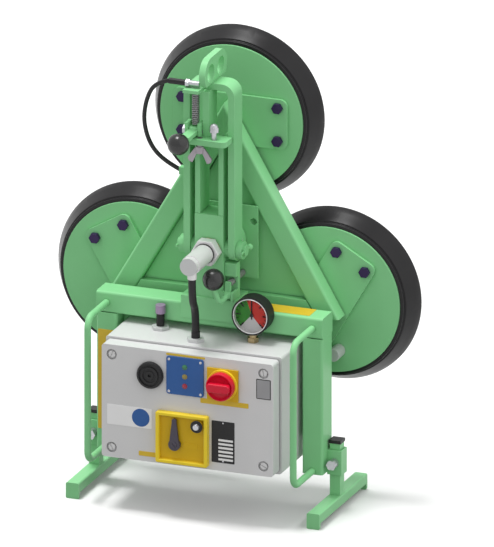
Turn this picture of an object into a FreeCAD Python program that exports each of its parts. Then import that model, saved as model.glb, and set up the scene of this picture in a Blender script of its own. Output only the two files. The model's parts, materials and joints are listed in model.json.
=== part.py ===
"""Glass panel lifter: a tilting hanger, a carrier with a control box, and three suction cups.

X runs to the right, Z up, and the operator stands at -Y. Depths are measured from the front
face of the cross beam, and the whole lifter is then centred over the origin.
"""
import FreeCAD, Part
import math
import os
import re

Vector = FreeCAD.Vector

doc = FreeCAD.newDocument("glass_panel_lifter")
sheet = doc.addObject("Spreadsheet::Sheet", "sizes")

SIZES = {
    # Clearances and cutting allowance
    "overrun": 2, "slide_clearance": 0.4, "running_clearance": 0.05, "side_clearance": 0.4,
    # Carrier of square tube: one cross beam on two legs
    "box_gap": 8.5, "beam_height": 40, "beam_depth": 50, "tube_wall": 3, "tube_corner": 5,
    "leg_width": 40, "leg_length": 259, "leg_lift": 73, "drain_diameter": 10,
    "handle_diameter": 12.5, "handle_reach": 95, "handle_bend": 20, "handle_end_lift": 6.5,
    # Telescopic feet
    "sleeve_width": 28, "sleeve_length": 47, "sleeve_drop": 4, "sleeve_depth": 36,
    "post_width": 20, "post_top": 128, "cap_height": 6, "cap_lip": 1.5,
    "foot_width": 25, "foot_height": 20, "foot_length": 240, "foot_wall": 2, "foot_top": 30,
    "pad_thickness": 5, "foot_corner": 3,
    "clamp_bolt_diameter": 10, "clamp_head_width": 17, "clamp_head_height": 7, "clamp_nut_length": 10,
    # Control box
    "lid_width": 331, "lid_height": 215, "box_hang": 18, "lid_front": 110, "lid_depth": 30,
    "box_wall": 4, "box_corner": 6, "base_rim": 4.5, "base_depth": 113, "gasket_thickness": 2,
    "gasket_width": 6, "gasket_inset": 2, "mount_plate_thickness": 4, "mount_plate_height": 200,
    "lid_screw_inset": 19, "lid_screw_head": 14, "lid_screw_shank": 6, "lid_screw_length": 43,
    "lid_recess_diameter": 20, "lid_boss_diameter": 26, "lid_recess_depth": 5, "lid_head_height": 3,
    "base_boss_depth": 20,
    # Pieces inside the box
    "battery_width": 151, "battery_depth": 65, "battery_height": 94, "battery_gap": 6,
    "pump_diameter": 58, "pump_length": 96, "pump_left": 48, "pump_gap": 17.5,
    "head_width": 66, "head_length": 34,
    "valve_gap": 4.5, "board_height": 90, "board_thickness": 1.6, "board_stand": 12,
    "board_gap": 3.5, "board_drop": 109, "stand_diameter": 8,
    "valve_body_width": 54, "valve_body_height": 60, "valve_body_depth": 34,
    # Front panel
    "buzzer_diameter": 50, "buzzer_height": 9, "buzzer_stem": 22, "buzzer_stem_length": 34,
    "buzzer_place": 71, "buzzer_drop": 48,
    "panel_width": 72, "panel_thickness": 3, "panel_place": 4, "panel_drop": 43,
    "led_diameter": 8, "led_pitch": 18, "led_height": 3, "led_shank": 5,
    "switch_plate_width": 60, "switch_plate_thickness": 4, "switch_place": 69, "switch_drop": 49,
    "switch_ring_diameter": 58, "switch_ring_height": 4, "switch_knob_diameter": 52,
    "switch_knob_height": 14, "switch_grip_width": 17, "switch_grip_height": 8,
    "switch_shaft_diameter": 10,
    "tray_width": 100, "tray_height": 97, "tray_rim": 7, "tray_proud": 12, "tray_floor": 5,
    "tray_place": 8, "tray_rise": 54, "tray_corner": 4,
    "lever_reach": 50, "lever_root": 22, "lever_neck": 19, "lever_tip": 9, "lever_point": 8,
    "lever_thickness": 4, "lever_place": 21.5, "lever_below": 11.5, "lever_shaft": 8, "lever_boss_height": 3,
    "lock_diameter": 23, "lock_height": 3.5, "lock_pin": 11, "lock_pin_height": 4, "lock_stem": 9,
    "lock_place": 23, "lock_above": 29.5,
    "lock_travel": 3, "lock_guide": 15, "lock_guide_height": 4.6,
    # Fittings on the box top
    "silencer_place": 90.5, "silencer_depth": 10, "silencer_stem": 15, "silencer_stem_length": 24,
    "silencer_cap": 18.5, "silencer_cap_length": 16, "gland_nut": 29, "gland_nut_height": 6,
    "gland_collar_height": 12, "gland_place": 8, "gland_depth": 48, "gland_thread": 16,
    "gauge_place": 90, "gauge_depth": 15.5, "gauge_lift": 52, "gauge_diameter": 72,
    "gauge_length": 28, "gauge_wall": 4, "gauge_lens_thickness": 2, "gauge_dial_thickness": 1.5,
    "gauge_dial_sink": 9, "gauge_stem": 15, "gauge_hex": 19, "gauge_hex_height": 9,
    "needle_length": 24, "needle_tail": 8, "needle_width": 2.4, "needle_thickness": 0.8,
    "needle_hub": 7, "needle_pin": 2, "needle_gap": 1,
    # Hub, mast and rotary union
    "hub_lift": 91, "saddle_width": 106, "saddle_wall": 6, "saddle_height": 15,
    "saddle_drop": 27, "block_width": 55, "block_depth": 50, "block_front": 2.5, "block_rise": 67,
    "mast_wall": 10, "mast_length": 145, "mast_set_back": 1, "axle_diameter": 30, "bush_diameter": 38,
    "bush_flange": 46, "bush_flange_thickness": 2, "axle_flange": 92, "hub_nut_width": 46,
    "hub_nut_height": 20,
    "nose_diameter": 16, "nose_length": 24, "union_diameter": 36, "union_front": 105.6,
    "union_step": 33, "union_step_length": 12, "barb_depth": 87, "barb_diameter": 17, "barb_drop": 10,
    "hub_hose_diameter": 14, "hose_fall": 30, "hose_lean": 3, "hose_rise": 32, "hose_swing": 4,
    "hose_side": 2,
    # Hanger (bail) and its pivot
    "bail_width": 98, "bail_thickness": 12, "bail_depth": 40, "bail_rise": 319, "bail_corner": 24,
    "tongue_front": 18, "tongue_back": 22.5,
    "pivot_diameter": 20, "pivot_length": 38, "collar_diameter": 33, "outer_collar": 11,
    "split_pin_diameter": 4, "split_pin_length": 42, "split_pin_eye": 12, "split_pin_inset": 2.5,
    "eye_thickness": 12, "eye_hole": 35, "eye_radius": 30, "eye_lift": 20, "eye_pitch": 49.5,
    # Tilt latch on the hanger
    "shelf_over": 9, "shelf_width": 90, "shelf_thickness": 11, "shelf_depth": 36, "shelf_corner": 10,
    "latch_lug_thickness": 6, "latch_lug_height": 26, "latch_lug_depth": 22, "latch_place": 22,
    "latch_arm_width": 18, "latch_arm_thickness": 8, "latch_arm_reach": 54, "latch_pin": 8,
    "latch_pin_head": 15, "latch_pin_head_height": 6, "latch_boss": 16, "latch_pivot_lift": 9,
    "latch_pivot_depth": 14, "latch_tail": 12,
    "ball_diameter": 40, "ball_flat": 2, "ball_shank": 10, "ball_shank_length": 10,
    "spring_wire": 2.2, "spring_diameter": 12, "spring_turns": 18, "spring_back": 5,
    "spring_bracket_thickness": 6, "spring_bracket_depth": 36, "spring_bracket_width": 30,
    "stud_diameter": 10, "acorn_width": 15, "acorn_height": 9, "acorn_lift": 14, "acorn_place": 19,
    "stud_depth": 24,
    "wing_place": 8, "wing_hub": 15, "wing_hub_height": 13, "wing_span": 46, "wing_thickness": 4,
    "wing_height": 32, "wing_gap": 5,
    # Control line on the hanger
    "line_diameter": 8, "line_fitting": 11, "line_fitting_length": 26, "line_ferrule": 33,
    "line_clip_width": 14,
    "line_clip_rise": 139, "line_clip_thickness": 14, "line_nut": 13, "line_nut_length": 7,
    # Rotation lock beside the hub
    "index_bracket_width": 22, "index_bracket_depth": 20, "index_bracket_rise": 37, "index_wall": 10,
    "index_bracket_gap": 0.5, "index_bracket_front": 4, "plunger_diameter": 12,
    "plunger_lift": 20, "plunger_nose": 5, "plunger_nose_length": 3, "plunger_start": 3, "plunger_cover": 6,
    "plunger_gap": 1, "index_ear": 4, "index_ear_reach": 18, "index_pivot_lift": 11,
    "index_pivot_depth": 8, "index_pin": 8, "index_boss": 14, "index_finger_width": 10,
    "index_finger_depth": 6, "index_finger_gap": 1, "index_rod": 10, "index_rod_bend": 12,
    "index_knob_place": 27, "index_knob_depth": 50, "index_knob_lift": 42,
    "index_dip": 6, "index_dip_depth": 38, "index_dip_place": 34,
    # Turning frame of the three cups
    "cup_circle": 216, "bar_width": 40, "bar_depth": 35, "bar_front": 69, "web_depth": 15,
    "web_thickness": 5, "hub_plate_width": 137, "hub_core_width": 126, "hub_plate_front": 66,
    "base_bar_drop": 100, "bar_end_drop": 130,
    "cup_plate_length": 220, "cup_plate_width": 95, "cup_plate_thickness": 6, "cup_plate_corner": 14,
    "cup_bolt_spread": 184, "cup_bolt_pitch": 63, "cup_bolt_head": 18,
    "cup_bolt_head_height": 8, "cup_bolt_diameter": 10,
    "disc_diameter": 275, "disc_thickness": 8, "seal_collar": 144, "seal_front": 3,
    "seal_collar_depth": 6, "seal_root": 147, "seal_rim": 163, "seal_flare_depth": 32,
    "seal_lip_depth": 6, "seal_lip_width": 12, "seal_seat": 10, "seal_web": 3,
    "port_diameter": 24, "port_length": 32, "port_drop": 94, "port_side": 21,
}

# Sizes and heights that follow from the others, so that the pieces keep together
PLACES = {
    "beam_length": "lid_width + 2 * base_rim + 2 * box_gap + 2 * leg_width",
    "saddle_level": "leg_lift + leg_length + beam_height + saddle_height",
    "hub_height": "saddle_level + hub_lift", "block_top": "hub_height + block_rise",
    "mast_top": "block_top + mast_length", "bail_top": "hub_height + bail_rise",
    "shelf_top": "mast_top + shelf_over", "line_clip_height": "hub_height + line_clip_rise",
    "base_bar_top": "hub_height - base_bar_drop", "bar_end_height": "hub_height - bar_end_drop",
    "index_pivot_height": "saddle_level + index_pivot_lift",
    "plunger_height": "index_pivot_height + plunger_lift",
    "index_bracket_top": "plunger_height + index_bracket_rise",
    "index_knob_height": "index_pivot_height + index_knob_lift",
    "lid_bottom": "leg_lift + leg_length - box_hang - lid_height",
    "lid_level": "lid_bottom + lid_height", "buzzer_lift": "lid_level - buzzer_drop",
    "panel_lift": "lid_level - panel_drop", "switch_lift": "lid_level - switch_drop",
    "tray_lift": "lid_bottom + tray_rise", "lever_lift": "tray_lift - lever_below",
    "lock_lift": "tray_lift + lock_above",
    "battery_left": "lid_width / 2 + base_rim - box_wall - battery_gap",
    "board_place": "valve_body_width / 2 - lever_place + valve_gap",
    "board_width": "lid_width / 2 - lid_screw_inset - lid_boss_diameter / 2 - board_gap - board_place",
    "board_lift": "lid_level - board_drop",
    "pump_height": "lid_bottom - base_rim + box_wall + battery_height + pump_gap",
}
for row, (size_name, size_value) in enumerate([*SIZES.items(), *PLACES.items()], start=1):
    sheet.set(f"A{row}", size_name)
    sheet.set(f"B{row}", f"={size_value}")
    sheet.setAlias(f"B{row}", size_name)
doc.recompute()


def size(name):
    """A driving dimension read from the sheet."""
    return float(sheet.get(name))


def on_sheet(formula):
    """The formula with each size name pointing at its cell."""
    def cell(word):
        return "sizes." + word[0] if word[0] in SIZES or word[0] in PLACES else word[0]

    return re.sub(r"[a-z_]+", cell, str(formula))


def bind(item, prop, formula):
    item.setExpression(prop, on_sheet(formula))


# Places worked out from the sizes, as formulas
BEAM_BOTTOM = "(leg_lift + leg_length)"
BEAM_TOP = f"({BEAM_BOTTOM} + beam_height)"
DISC_FRONT = "(bar_front + bar_depth + cup_plate_thickness)"
SEAL_FLARE = f"({DISC_FRONT} + seal_front + seal_collar_depth)"
SEAL_BACK = f"({SEAL_FLARE} + seal_flare_depth + seal_lip_depth)"
SWITCH_FACE = "(lid_front + switch_plate_thickness + switch_ring_height)"
KNOB_FRONT = f"({SWITCH_FACE} + side_clearance + switch_knob_height + switch_grip_height)"
MIDDLE = f"(({SEAL_BACK} - {KNOB_FRONT}) / 2)"
LID_BACK = "(lid_depth - lid_front)"
BASE_FRONT = f"({LID_BACK} + gasket_thickness)"
BASE_BACK = f"({BASE_FRONT} + base_depth)"
LID_TOP = "(lid_bottom + lid_height)"
BOX_TOP = f"({LID_TOP} + base_rim)"
BOX_FLOOR = "(lid_bottom - base_rim)"
SADDLE_TOP = f"({BEAM_TOP} + saddle_height)"
BLOCK_BACK = "(block_depth - block_front)"
PIVOT_DEPTH = "(bail_depth / 2 - block_front)"


def worked(formula):
    """The number that a formula gives, for the shapes made of curves."""
    bare = re.sub(r"[a-z_]+", lambda word: repr(size(word[0])), str(formula))
    return float(FreeCAD.Units.Quantity(bare).Value)


def point(x, y, z):
    """A point from formulas, with its depth measured from the beam's front face."""
    return Vector(worked(x), worked(y) - worked(MIDDLE), worked(z))


def place(item, x, y, z):
    bind(item, "Placement.Base.x", x)
    bind(item, "Placement.Base.y", f"({y}) - {MIDDLE}")
    bind(item, "Placement.Base.z", z)
    return item


def box(x, y, z):
    """A block between the low and high formulas of its three spans."""
    item = doc.addObject("Part::Box", "block")
    for prop, (low, high) in zip(("Length", "Width", "Height"), (x, y, z)):
        bind(item, prop, f"({high}) - ({low})")
    return place(item, x[0], y[0], z[0])


TURNS = {
    "x": FreeCAD.Rotation(Vector(0, 1, 0), 90),
    "y": FreeCAD.Rotation(Vector(1, 0, 0), -90),
    "z": FreeCAD.Rotation(),
}


def along(item, axis, span, centre):
    """Stand a round item on its axis: span is along it, centre holds the two other places."""
    item.Placement = FreeCAD.Placement(Vector(), TURNS[axis])
    bind(item, "Height", f"({span[1]}) - ({span[0]})")
    first, second = centre
    places = {"x": (span[0], first, second), "y": (first, span[0], second), "z": (first, second, span[0])}
    return place(item, *places[axis])


def rod(axis, span, centre, diameter):
    item = doc.addObject("Part::Cylinder", "rod")
    bind(item, "Radius", f"({diameter}) / 2")
    return along(item, axis, span, centre)


def taper(axis, span, centre, low_diameter, high_diameter):
    item = doc.addObject("Part::Cone", "taper")
    bind(item, "Radius1", f"({low_diameter}) / 2")
    bind(item, "Radius2", f"({high_diameter}) / 2")
    return along(item, axis, span, centre)


def hexagon(axis, span, centre, across_flats):
    item = doc.addObject("Part::Prism", "hexagon")
    item.Polygon = 6
    bind(item, "Circumradius", f"({across_flats}) / sqrt(3)")
    return along(item, axis, span, centre)


def ball(x, y, z, diameter):
    item = doc.addObject("Part::Sphere", "ball")
    bind(item, "Radius", f"({diameter}) / 2")
    return place(item, x, y, z)


def fuse(*items):
    item = doc.addObject("Part::MultiFuse", "fuse")
    item.Shapes = list(items)
    return item


def cut(base, *tools):
    for tool in tools:
        item = doc.addObject("Part::Cut", "cut")
        item.Base = base
        item.Tool = tool
        base = item
    return base


def group(*items):
    """Several separate solids in one node."""
    item = doc.addObject("Part::Compound", "group")
    item.Links = list(items)
    return item


def rounded(base, radius, wanted):
    """Round the straight edges for which wanted(middle, direction) holds."""
    doc.recompute()
    item = doc.addObject("Part::Fillet", "rounded")
    item.Base = base
    edges = []
    for number, edge in enumerate(base.Shape.Edges, start=1):
        if not isinstance(edge.Curve, Part.Line):
            continue
        direction = edge.tangentAt(edge.FirstParameter)
        if wanted(edge.CenterOfMass, direction):
            edges.append((number, worked(radius), worked(radius)))
    item.Edges = edges
    return item


def runs_along(axis):
    unit = {"x": Vector(1, 0, 0), "y": Vector(0, 1, 0), "z": Vector(0, 0, 1)}[axis]
    return lambda middle, direction: abs(direction.dot(unit)) > 0.999


def shape(made):
    """A piece whose shape is made directly, for bent rods, hoses, springs and turned rings."""
    item = doc.addObject("Part::Feature", "made")
    item.Shape = made
    return item


def bent_path(points, bend=None):
    """Straight runs with tangent arcs: a fixed bend, or arcs as large as the runs allow."""
    runs_share = 0.45
    radii = []
    edges = []
    start = points[0]
    for before, corner, after in zip(points, points[1:], points[2:]):
        into = (corner - before).normalize()
        out = (after - corner).normalize()
        half_turn = into.getAngle(out) / 2
        shorter = min((corner - before).Length, (after - corner).Length)
        radius = bend if bend else runs_share * shorter / math.tan(half_turn)
        setback = radius * math.tan(half_turn)
        radii.append(radius)
        first = corner - into * setback
        last = corner + out * setback
        inward = (out - into).normalize()
        middle = corner + inward * (radius / math.cos(half_turn) - radius)
        edges.append(Part.LineSegment(start, first).toShape())
        edges.append(Part.Arc(first, middle, last).toShape())
        start = last
    edges.append(Part.LineSegment(start, points[-1]).toShape())
    return Part.Wire(edges), radii


def pipe(path, diameter):
    """A round bar along a path of edges."""
    first = path.Edges[0]
    circle = Part.makeCircle(diameter / 2, first.Vertexes[0].Point, first.tangentAt(first.FirstParameter))
    return path.makePipeShell([Part.Wire(circle)], True, False)


def hose(label, points, diameter):
    """A hose along its route, with its bends and volume reported."""
    path, radii = bent_path(points)
    made = pipe(path, diameter)
    section = math.pi * diameter ** 2 / 4
    print(label, "length", round(path.Length, 1), "radii", [round(radius, 1) for radius in radii],
          "volume ratio", round(made.Volume / (section * path.Length), 4))
    return shape(made)


NODES = {}


def node(label, item):
    item.Label = label
    NODES[label] = item
    return item


def square_tube(axis, x, y, z):
    """A tube of rectangular section with rounded corners, open at both ends."""
    outer = rounded(box(x, y, z), "tube_corner", runs_along(axis))
    spans = {"x": x, "y": y, "z": z}
    for name, (low, high) in spans.items():
        step = "-overrun" if name == axis else "tube_wall"
        spans[name] = (f"({low}) + {step}", f"({high}) - ({step})")
    inner = rounded(box(spans["x"], spans["y"], spans["z"]), "tube_corner - tube_wall", runs_along(axis))
    return cut(outer, inner)


SIDES = (("left", "-1"), ("right", "1"))


def mirrored(sign, low, high):
    """A span on the left or right of the middle plane."""
    return (low, high) if sign == "1" else (f"-({high})", f"-({low})")


# Carrier: cross beam with welded ends, and the two grab handles
beam_x = ("-beam_length / 2", "beam_length / 2")
beam = rounded(box(beam_x, ("0", "beam_depth"), (BEAM_BOTTOM, BEAM_TOP)), "tube_corner", runs_along("x"))
beam_room = box(("tube_wall - beam_length / 2", "beam_length / 2 - tube_wall"),
                ("tube_wall", "beam_depth - tube_wall"),
                (f"{BEAM_BOTTOM} + tube_wall", f"{BEAM_TOP} - tube_wall"))
drain = rod("z", (f"{BEAM_BOTTOM} - overrun", f"{BEAM_TOP} - beam_height / 2"), ("0", "beam_depth / 2"),
            "drain_diameter")
node("cross_beam", cut(beam, beam_room, drain))
LEG_INNER = "(beam_length / 2 - leg_width)"
LEG_MIDDLE = "((beam_length - leg_width) / 2)"
handles = []
for side, sign in SIDES:
    handle_x = f"{sign} * {LEG_MIDDLE}"
    upper = f"{BEAM_TOP} - beam_height / 2"
    lower = "leg_lift + handle_end_lift"
    route = [point(handle_x, "0", upper), point(handle_x, "-handle_reach", upper),
             point(handle_x, "-handle_reach", lower), point(handle_x, "0", lower)]
    handles.append(shape(pipe(bent_path(route, size("handle_bend"))[0], size("handle_diameter"))))
node("grab_handles", group(*handles))

# Legs with their welded sleeves, and telescopic feet: post, foot bar, end pads, cap and clamp bolt
sleeve_span = ("leg_lift - sleeve_drop", "leg_lift - sleeve_drop + sleeve_length")
CLAMP_HEIGHT = "(leg_lift - sleeve_drop + sleeve_length / 2)"
SLEEVE_FRONT = "(sleeve_depth - sleeve_width / 2)"
POST_MIDDLE = "(beam_length / 2 + sleeve_width / 2)"


def across(sign, reach):
    """A span of that width about the sleeve's axis."""
    return mirrored(sign, f"{POST_MIDDLE} - ({reach}) / 2", f"{POST_MIDDLE} + ({reach}) / 2")


def deep(reach):
    return (f"sleeve_depth - ({reach}) / 2", f"sleeve_depth + ({reach}) / 2")


clamp_bolts = []
for side, sign in SIDES:
    leg = square_tube("z", mirrored(sign, LEG_INNER, "beam_length / 2"), ("0", "beam_depth"),
                      ("leg_lift", BEAM_BOTTOM))
    post_x = f"{sign} * {POST_MIDDLE}"
    bore = "post_width + 2 * slide_clearance"
    sleeve = box(across(sign, "sleeve_width"), deep("sleeve_width"), sleeve_span)
    tunnel = box(across(sign, bore), deep(bore),
                 (f"{sleeve_span[0]} - overrun", f"{sleeve_span[1]} + overrun"))
    bolt_hole = rod("y", (f"{SLEEVE_FRONT} - overrun", "sleeve_depth"), (post_x, CLAMP_HEIGHT),
                    "clamp_bolt_diameter")
    node(f"{side}_leg", fuse(leg, cut(sleeve, tunnel, bolt_hole)))
    bolt_tip = "sleeve_depth - post_width / 2 - slide_clearance"
    nut_front = f"{SLEEVE_FRONT} - clamp_nut_length"
    clamp_bolts.append(fuse(
        rod("y", (nut_front, bolt_tip), (post_x, CLAMP_HEIGHT), "clamp_bolt_diameter"),
        hexagon("y", (f"{nut_front} - clamp_head_height", nut_front), (post_x, CLAMP_HEIGHT),
                "clamp_head_width"),
        rod("y", (nut_front, SLEEVE_FRONT), (post_x, CLAMP_HEIGHT), "clamp_head_width")))
    bar_low = "foot_top - foot_height"
    bar_ends = deep("foot_length - 2 * pad_thickness")
    bar = rounded(box(across(sign, "foot_width"), bar_ends, (bar_low, "foot_top")), "foot_corner",
                  runs_along("y"))
    hollow = box(across(sign, "foot_width - 2 * foot_wall"),
                 (f"{bar_ends[0]} - overrun", f"{bar_ends[1]} + overrun"),
                 (f"{bar_low} + foot_wall", "foot_top - foot_wall"))
    ends = deep("foot_length")
    node(f"{side}_foot", fuse(
        cut(bar, hollow),
        box(across(sign, "post_width"), deep("post_width"), ("foot_top", "post_top")),
        *(rounded(box(across(sign, "foot_width"), span, ("0", "foot_top")), "foot_corner", runs_along("y"))
          for span in ((ends[0], bar_ends[0]), (bar_ends[1], ends[1]))),
        box(across(sign, "post_width + 2 * cap_lip"), deep("post_width + 2 * cap_lip"),
            ("post_top", "post_top + cap_height"))))
node("foot_clamp_bolts", group(*clamp_bolts))

# Control box: base shell, gasket, lid with recessed screws, and the plate that carries it
LID_HALF = "lid_width / 2"
BASE_HALF = "(lid_width / 2 + base_rim)"
base = rounded(box((f"-{BASE_HALF}", BASE_HALF), (BASE_FRONT, BASE_BACK), (BOX_FLOOR, BOX_TOP)),
               "box_corner", runs_along("y"))
base_room = box((f"box_wall - {BASE_HALF}", f"{BASE_HALF} - box_wall"),
                (f"{BASE_FRONT} + box_wall", f"{BASE_BACK} - box_wall"),
                (f"{BOX_FLOOR} + box_wall", f"{BOX_TOP} - box_wall"))
MOUTH_INSET = "(gasket_inset + gasket_width)"
mouth_x = (f"{MOUTH_INSET} - {LID_HALF}", f"{LID_HALF} - {MOUTH_INSET}")
mouth_z = (f"lid_bottom + {MOUTH_INSET}", f"{LID_TOP} - {MOUTH_INSET}")
base_mouth = box(mouth_x, (f"{BASE_FRONT} - overrun", f"{BASE_FRONT} + box_wall + overrun"), mouth_z)
SCREW_X = f"({LID_HALF} - lid_screw_inset)"
SCREW_PLACES = [(f"{x} * {SCREW_X}", z) for x in ("-1", "1")
                for z in ("lid_bottom + lid_screw_inset", f"{LID_TOP} - lid_screw_inset")]
base_bosses = [rod("y", (BASE_FRONT, f"{BASE_FRONT} + base_boss_depth"), place_of, "lid_boss_diameter")
               for place_of in SCREW_PLACES]
base_bores = [rod("y", (f"{BASE_FRONT} - overrun", f"{BASE_FRONT} + base_boss_depth + overrun"), place_of,
                  "lid_screw_shank") for place_of in SCREW_PLACES]
TOP_FITTINGS = (("-silencer_place", "-silencer_depth", "silencer_stem"),
                ("-gland_place", "-gland_depth", "gland_thread"),
                ("gauge_place", "-gauge_depth", "gauge_stem"))
top_holes = [rod("z", (f"{BOX_TOP} - box_wall - overrun", f"{BOX_TOP} + overrun"), (x, y), bore)
             for x, y, bore in TOP_FITTINGS]
base_shell = fuse(cut(base, base_room, base_mouth, *top_holes), *base_bosses)
node("enclosure_base", cut(base_shell, *base_bores))

lid = rounded(box((f"-{LID_HALF}", LID_HALF), ("-lid_front", LID_BACK), ("lid_bottom", LID_TOP)),
              "box_corner", runs_along("y"))
lid_room = box((f"box_wall - {LID_HALF}", f"{LID_HALF} - box_wall"),
               ("box_wall - lid_front", f"{LID_BACK} + overrun"),
               ("lid_bottom + box_wall", f"{LID_TOP} - box_wall"))
through_lid = ("-lid_front - overrun", "box_wall - lid_front + overrun")
FRONT_HOLES = [("-buzzer_place", "buzzer_lift", "buzzer_stem"),
               ("switch_place", "switch_lift", "switch_shaft_diameter + 2 * running_clearance"),
               ("-lever_place", "lever_lift", "lever_shaft + 2 * running_clearance"),
               ("lock_place", "lock_lift", "lock_stem + 2 * slide_clearance")]
lid_cuts = []
for x, z in SCREW_PLACES:
    lid_cuts.append(rod("y", ("-lid_front - overrun", "lid_recess_depth - lid_front"), (x, z),
                        "lid_recess_diameter"))
for x, z, bore in FRONT_HOLES:
    lid_cuts.append(rod("y", through_lid, (x, z), bore))
LED_PLACES = [f"panel_lift + {step} * led_pitch" for step in (-1, 0, 1)]
for z in LED_PLACES:
    lid_cuts.append(rod("y", through_lid, ("-panel_place", z), "led_shank"))
bosses = [rod("y", ("box_wall - lid_front", LID_BACK), place_of, "lid_boss_diameter")
          for place_of in SCREW_PLACES]
bores = [rod("y", ("-lid_front", f"{LID_BACK} + overrun"), place_of, "lid_screw_shank")
         for place_of in SCREW_PLACES]
lid_shell = fuse(cut(lid, lid_room), *bosses)
node("enclosure_lid", cut(lid_shell, *lid_cuts, *bores))
screws = []
for x, z in SCREW_PLACES:
    seat = "lid_recess_depth - lid_front"
    head = rod("y", (f"{seat} - lid_head_height", seat), (x, z), "lid_screw_head")
    screws.append(fuse(head, rod("y", (seat, f"{seat} + lid_screw_length"), (x, z), "lid_screw_shank")))
node("lid_screws", group(*screws))
gasket = box((f"gasket_inset - {LID_HALF}", f"{LID_HALF} - gasket_inset"), (LID_BACK, BASE_FRONT),
             ("lid_bottom + gasket_inset", f"{LID_TOP} - gasket_inset"))
gasket_room = box(mouth_x, (f"{LID_BACK} - overrun", f"{BASE_FRONT} + overrun"), mouth_z)
node("lid_gasket", cut(rounded(gasket, "box_corner - gasket_inset", runs_along("y")), gasket_room))
node("box_mount_plate", box(
    (f"-{LEG_INNER}", LEG_INNER), (BASE_BACK, f"{BASE_BACK} + mount_plate_thickness"),
    (f"{BEAM_BOTTOM} - mount_plate_height", BEAM_BOTTOM)))

# Inside the box: battery, vacuum pump and control board
ROOM_FLOOR = f"({BOX_FLOOR} + box_wall)"
ROOM_BACK = f"({BASE_BACK} - box_wall)"
battery = box(("-battery_left", "battery_width - battery_left"),
              (f"{ROOM_BACK} - battery_depth", ROOM_BACK), (ROOM_FLOOR, f"{ROOM_FLOOR} + battery_height"))
node("battery", battery)
pump_y = f"{ROOM_BACK} - head_width / 2"
node("vacuum_pump", fuse(
    rod("x", ("-pump_left", "pump_length - pump_left"), (pump_y, "pump_height + head_width / 2"),
        "pump_diameter"),
    box(("-pump_left - head_length", "-pump_left"), (f"{ROOM_BACK} - head_width", ROOM_BACK),
        ("pump_height", "pump_height + head_width"))))
STAND_SHARES = (0.1, 0.9)
board_front = "box_wall - lid_front + board_stand"
board_x = ("board_place", "board_place + board_width")
board_z = ("board_lift - board_height", "board_lift")
board = box(board_x, (board_front, f"{board_front} + board_thickness"), board_z)
stands = [rod("y", ("box_wall - lid_front", board_front),
              (f"board_place + {x} * board_width", f"board_lift - {z} * board_height"), "stand_diameter")
          for x in STAND_SHARES for z in STAND_SHARES]
node("control_board", fuse(board, *stands))

# Front panel: buzzer, charge display, main switch, valve tray with its lever and lock button
buzzer_at = ("-buzzer_place", "buzzer_lift")
node("alarm_buzzer", fuse(
    rod("y", ("-lid_front - buzzer_height", "-lid_front"), buzzer_at, "buzzer_diameter"),
    rod("y", ("-lid_front", "buzzer_stem_length - lid_front"), buzzer_at, "buzzer_stem")))
PANEL_FRONT = "(-lid_front - panel_thickness)"
panel = box(("-panel_place - panel_width / 2", "panel_width / 2 - panel_place"), (PANEL_FRONT, "-lid_front"),
            ("panel_lift - panel_width / 2", "panel_lift + panel_width / 2"))
leds = [fuse(rod("y", (f"{PANEL_FRONT} - led_height", PANEL_FRONT), ("-panel_place", z), "led_diameter"),
             rod("y", ("-lid_front", "box_wall - lid_front"), ("-panel_place", z), "led_shank"))
        for z in LED_PLACES]
node("charge_panel", fuse(panel, *leds))
switch_at = ("switch_place", "switch_lift")
plate = box(("switch_place - switch_plate_width / 2", "switch_place + switch_plate_width / 2"),
            ("-lid_front - switch_plate_thickness", "-lid_front"),
            ("switch_lift - switch_plate_width / 2", "switch_lift + switch_plate_width / 2"))
ring = rod("y", (f"-{SWITCH_FACE}", "-lid_front - switch_plate_thickness"), switch_at,
           "switch_ring_diameter")
shaft_bore = rod("y", (f"-{SWITCH_FACE} - overrun", "overrun - lid_front"), switch_at,
                 "switch_shaft_diameter + 2 * running_clearance")
node("switch_plate", cut(fuse(plate, ring), shaft_bore))
knob_back = f"-{SWITCH_FACE} - side_clearance"
knob_face = f"{knob_back} - switch_knob_height"
GRIP_HALF = "switch_knob_diameter / 2"
grip_room = [box((f"switch_place - {GRIP_HALF} - overrun", f"switch_place + {GRIP_HALF} + overrun"),
                 (f"-{KNOB_FRONT} - overrun", knob_face),
                 (f"switch_lift + {low}", f"switch_lift + {high}"))
             for low, high in (("switch_grip_width / 2", f"{GRIP_HALF} + overrun"),
                               (f"(-{GRIP_HALF} - overrun)", "(-switch_grip_width / 2)"))]
node("main_switch_knob", fuse(
    cut(rod("y", (f"-{KNOB_FRONT}", knob_back), switch_at, "switch_knob_diameter"), *grip_room),
    rod("y", (knob_back, "box_wall - lid_front"), switch_at, "switch_shaft_diameter")))
TRAY_FRONT = "(-lid_front - tray_proud)"
TRAY_FLOOR = "(-lid_front - tray_floor)"


def tray_span(inset, front, back):
    return box((f"{inset} - tray_place - tray_width / 2", f"tray_width / 2 - tray_place - ({inset})"),
               (front, back),
               (f"tray_lift - tray_height / 2 + {inset}", f"tray_lift + tray_height / 2 - ({inset})"))


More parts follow.
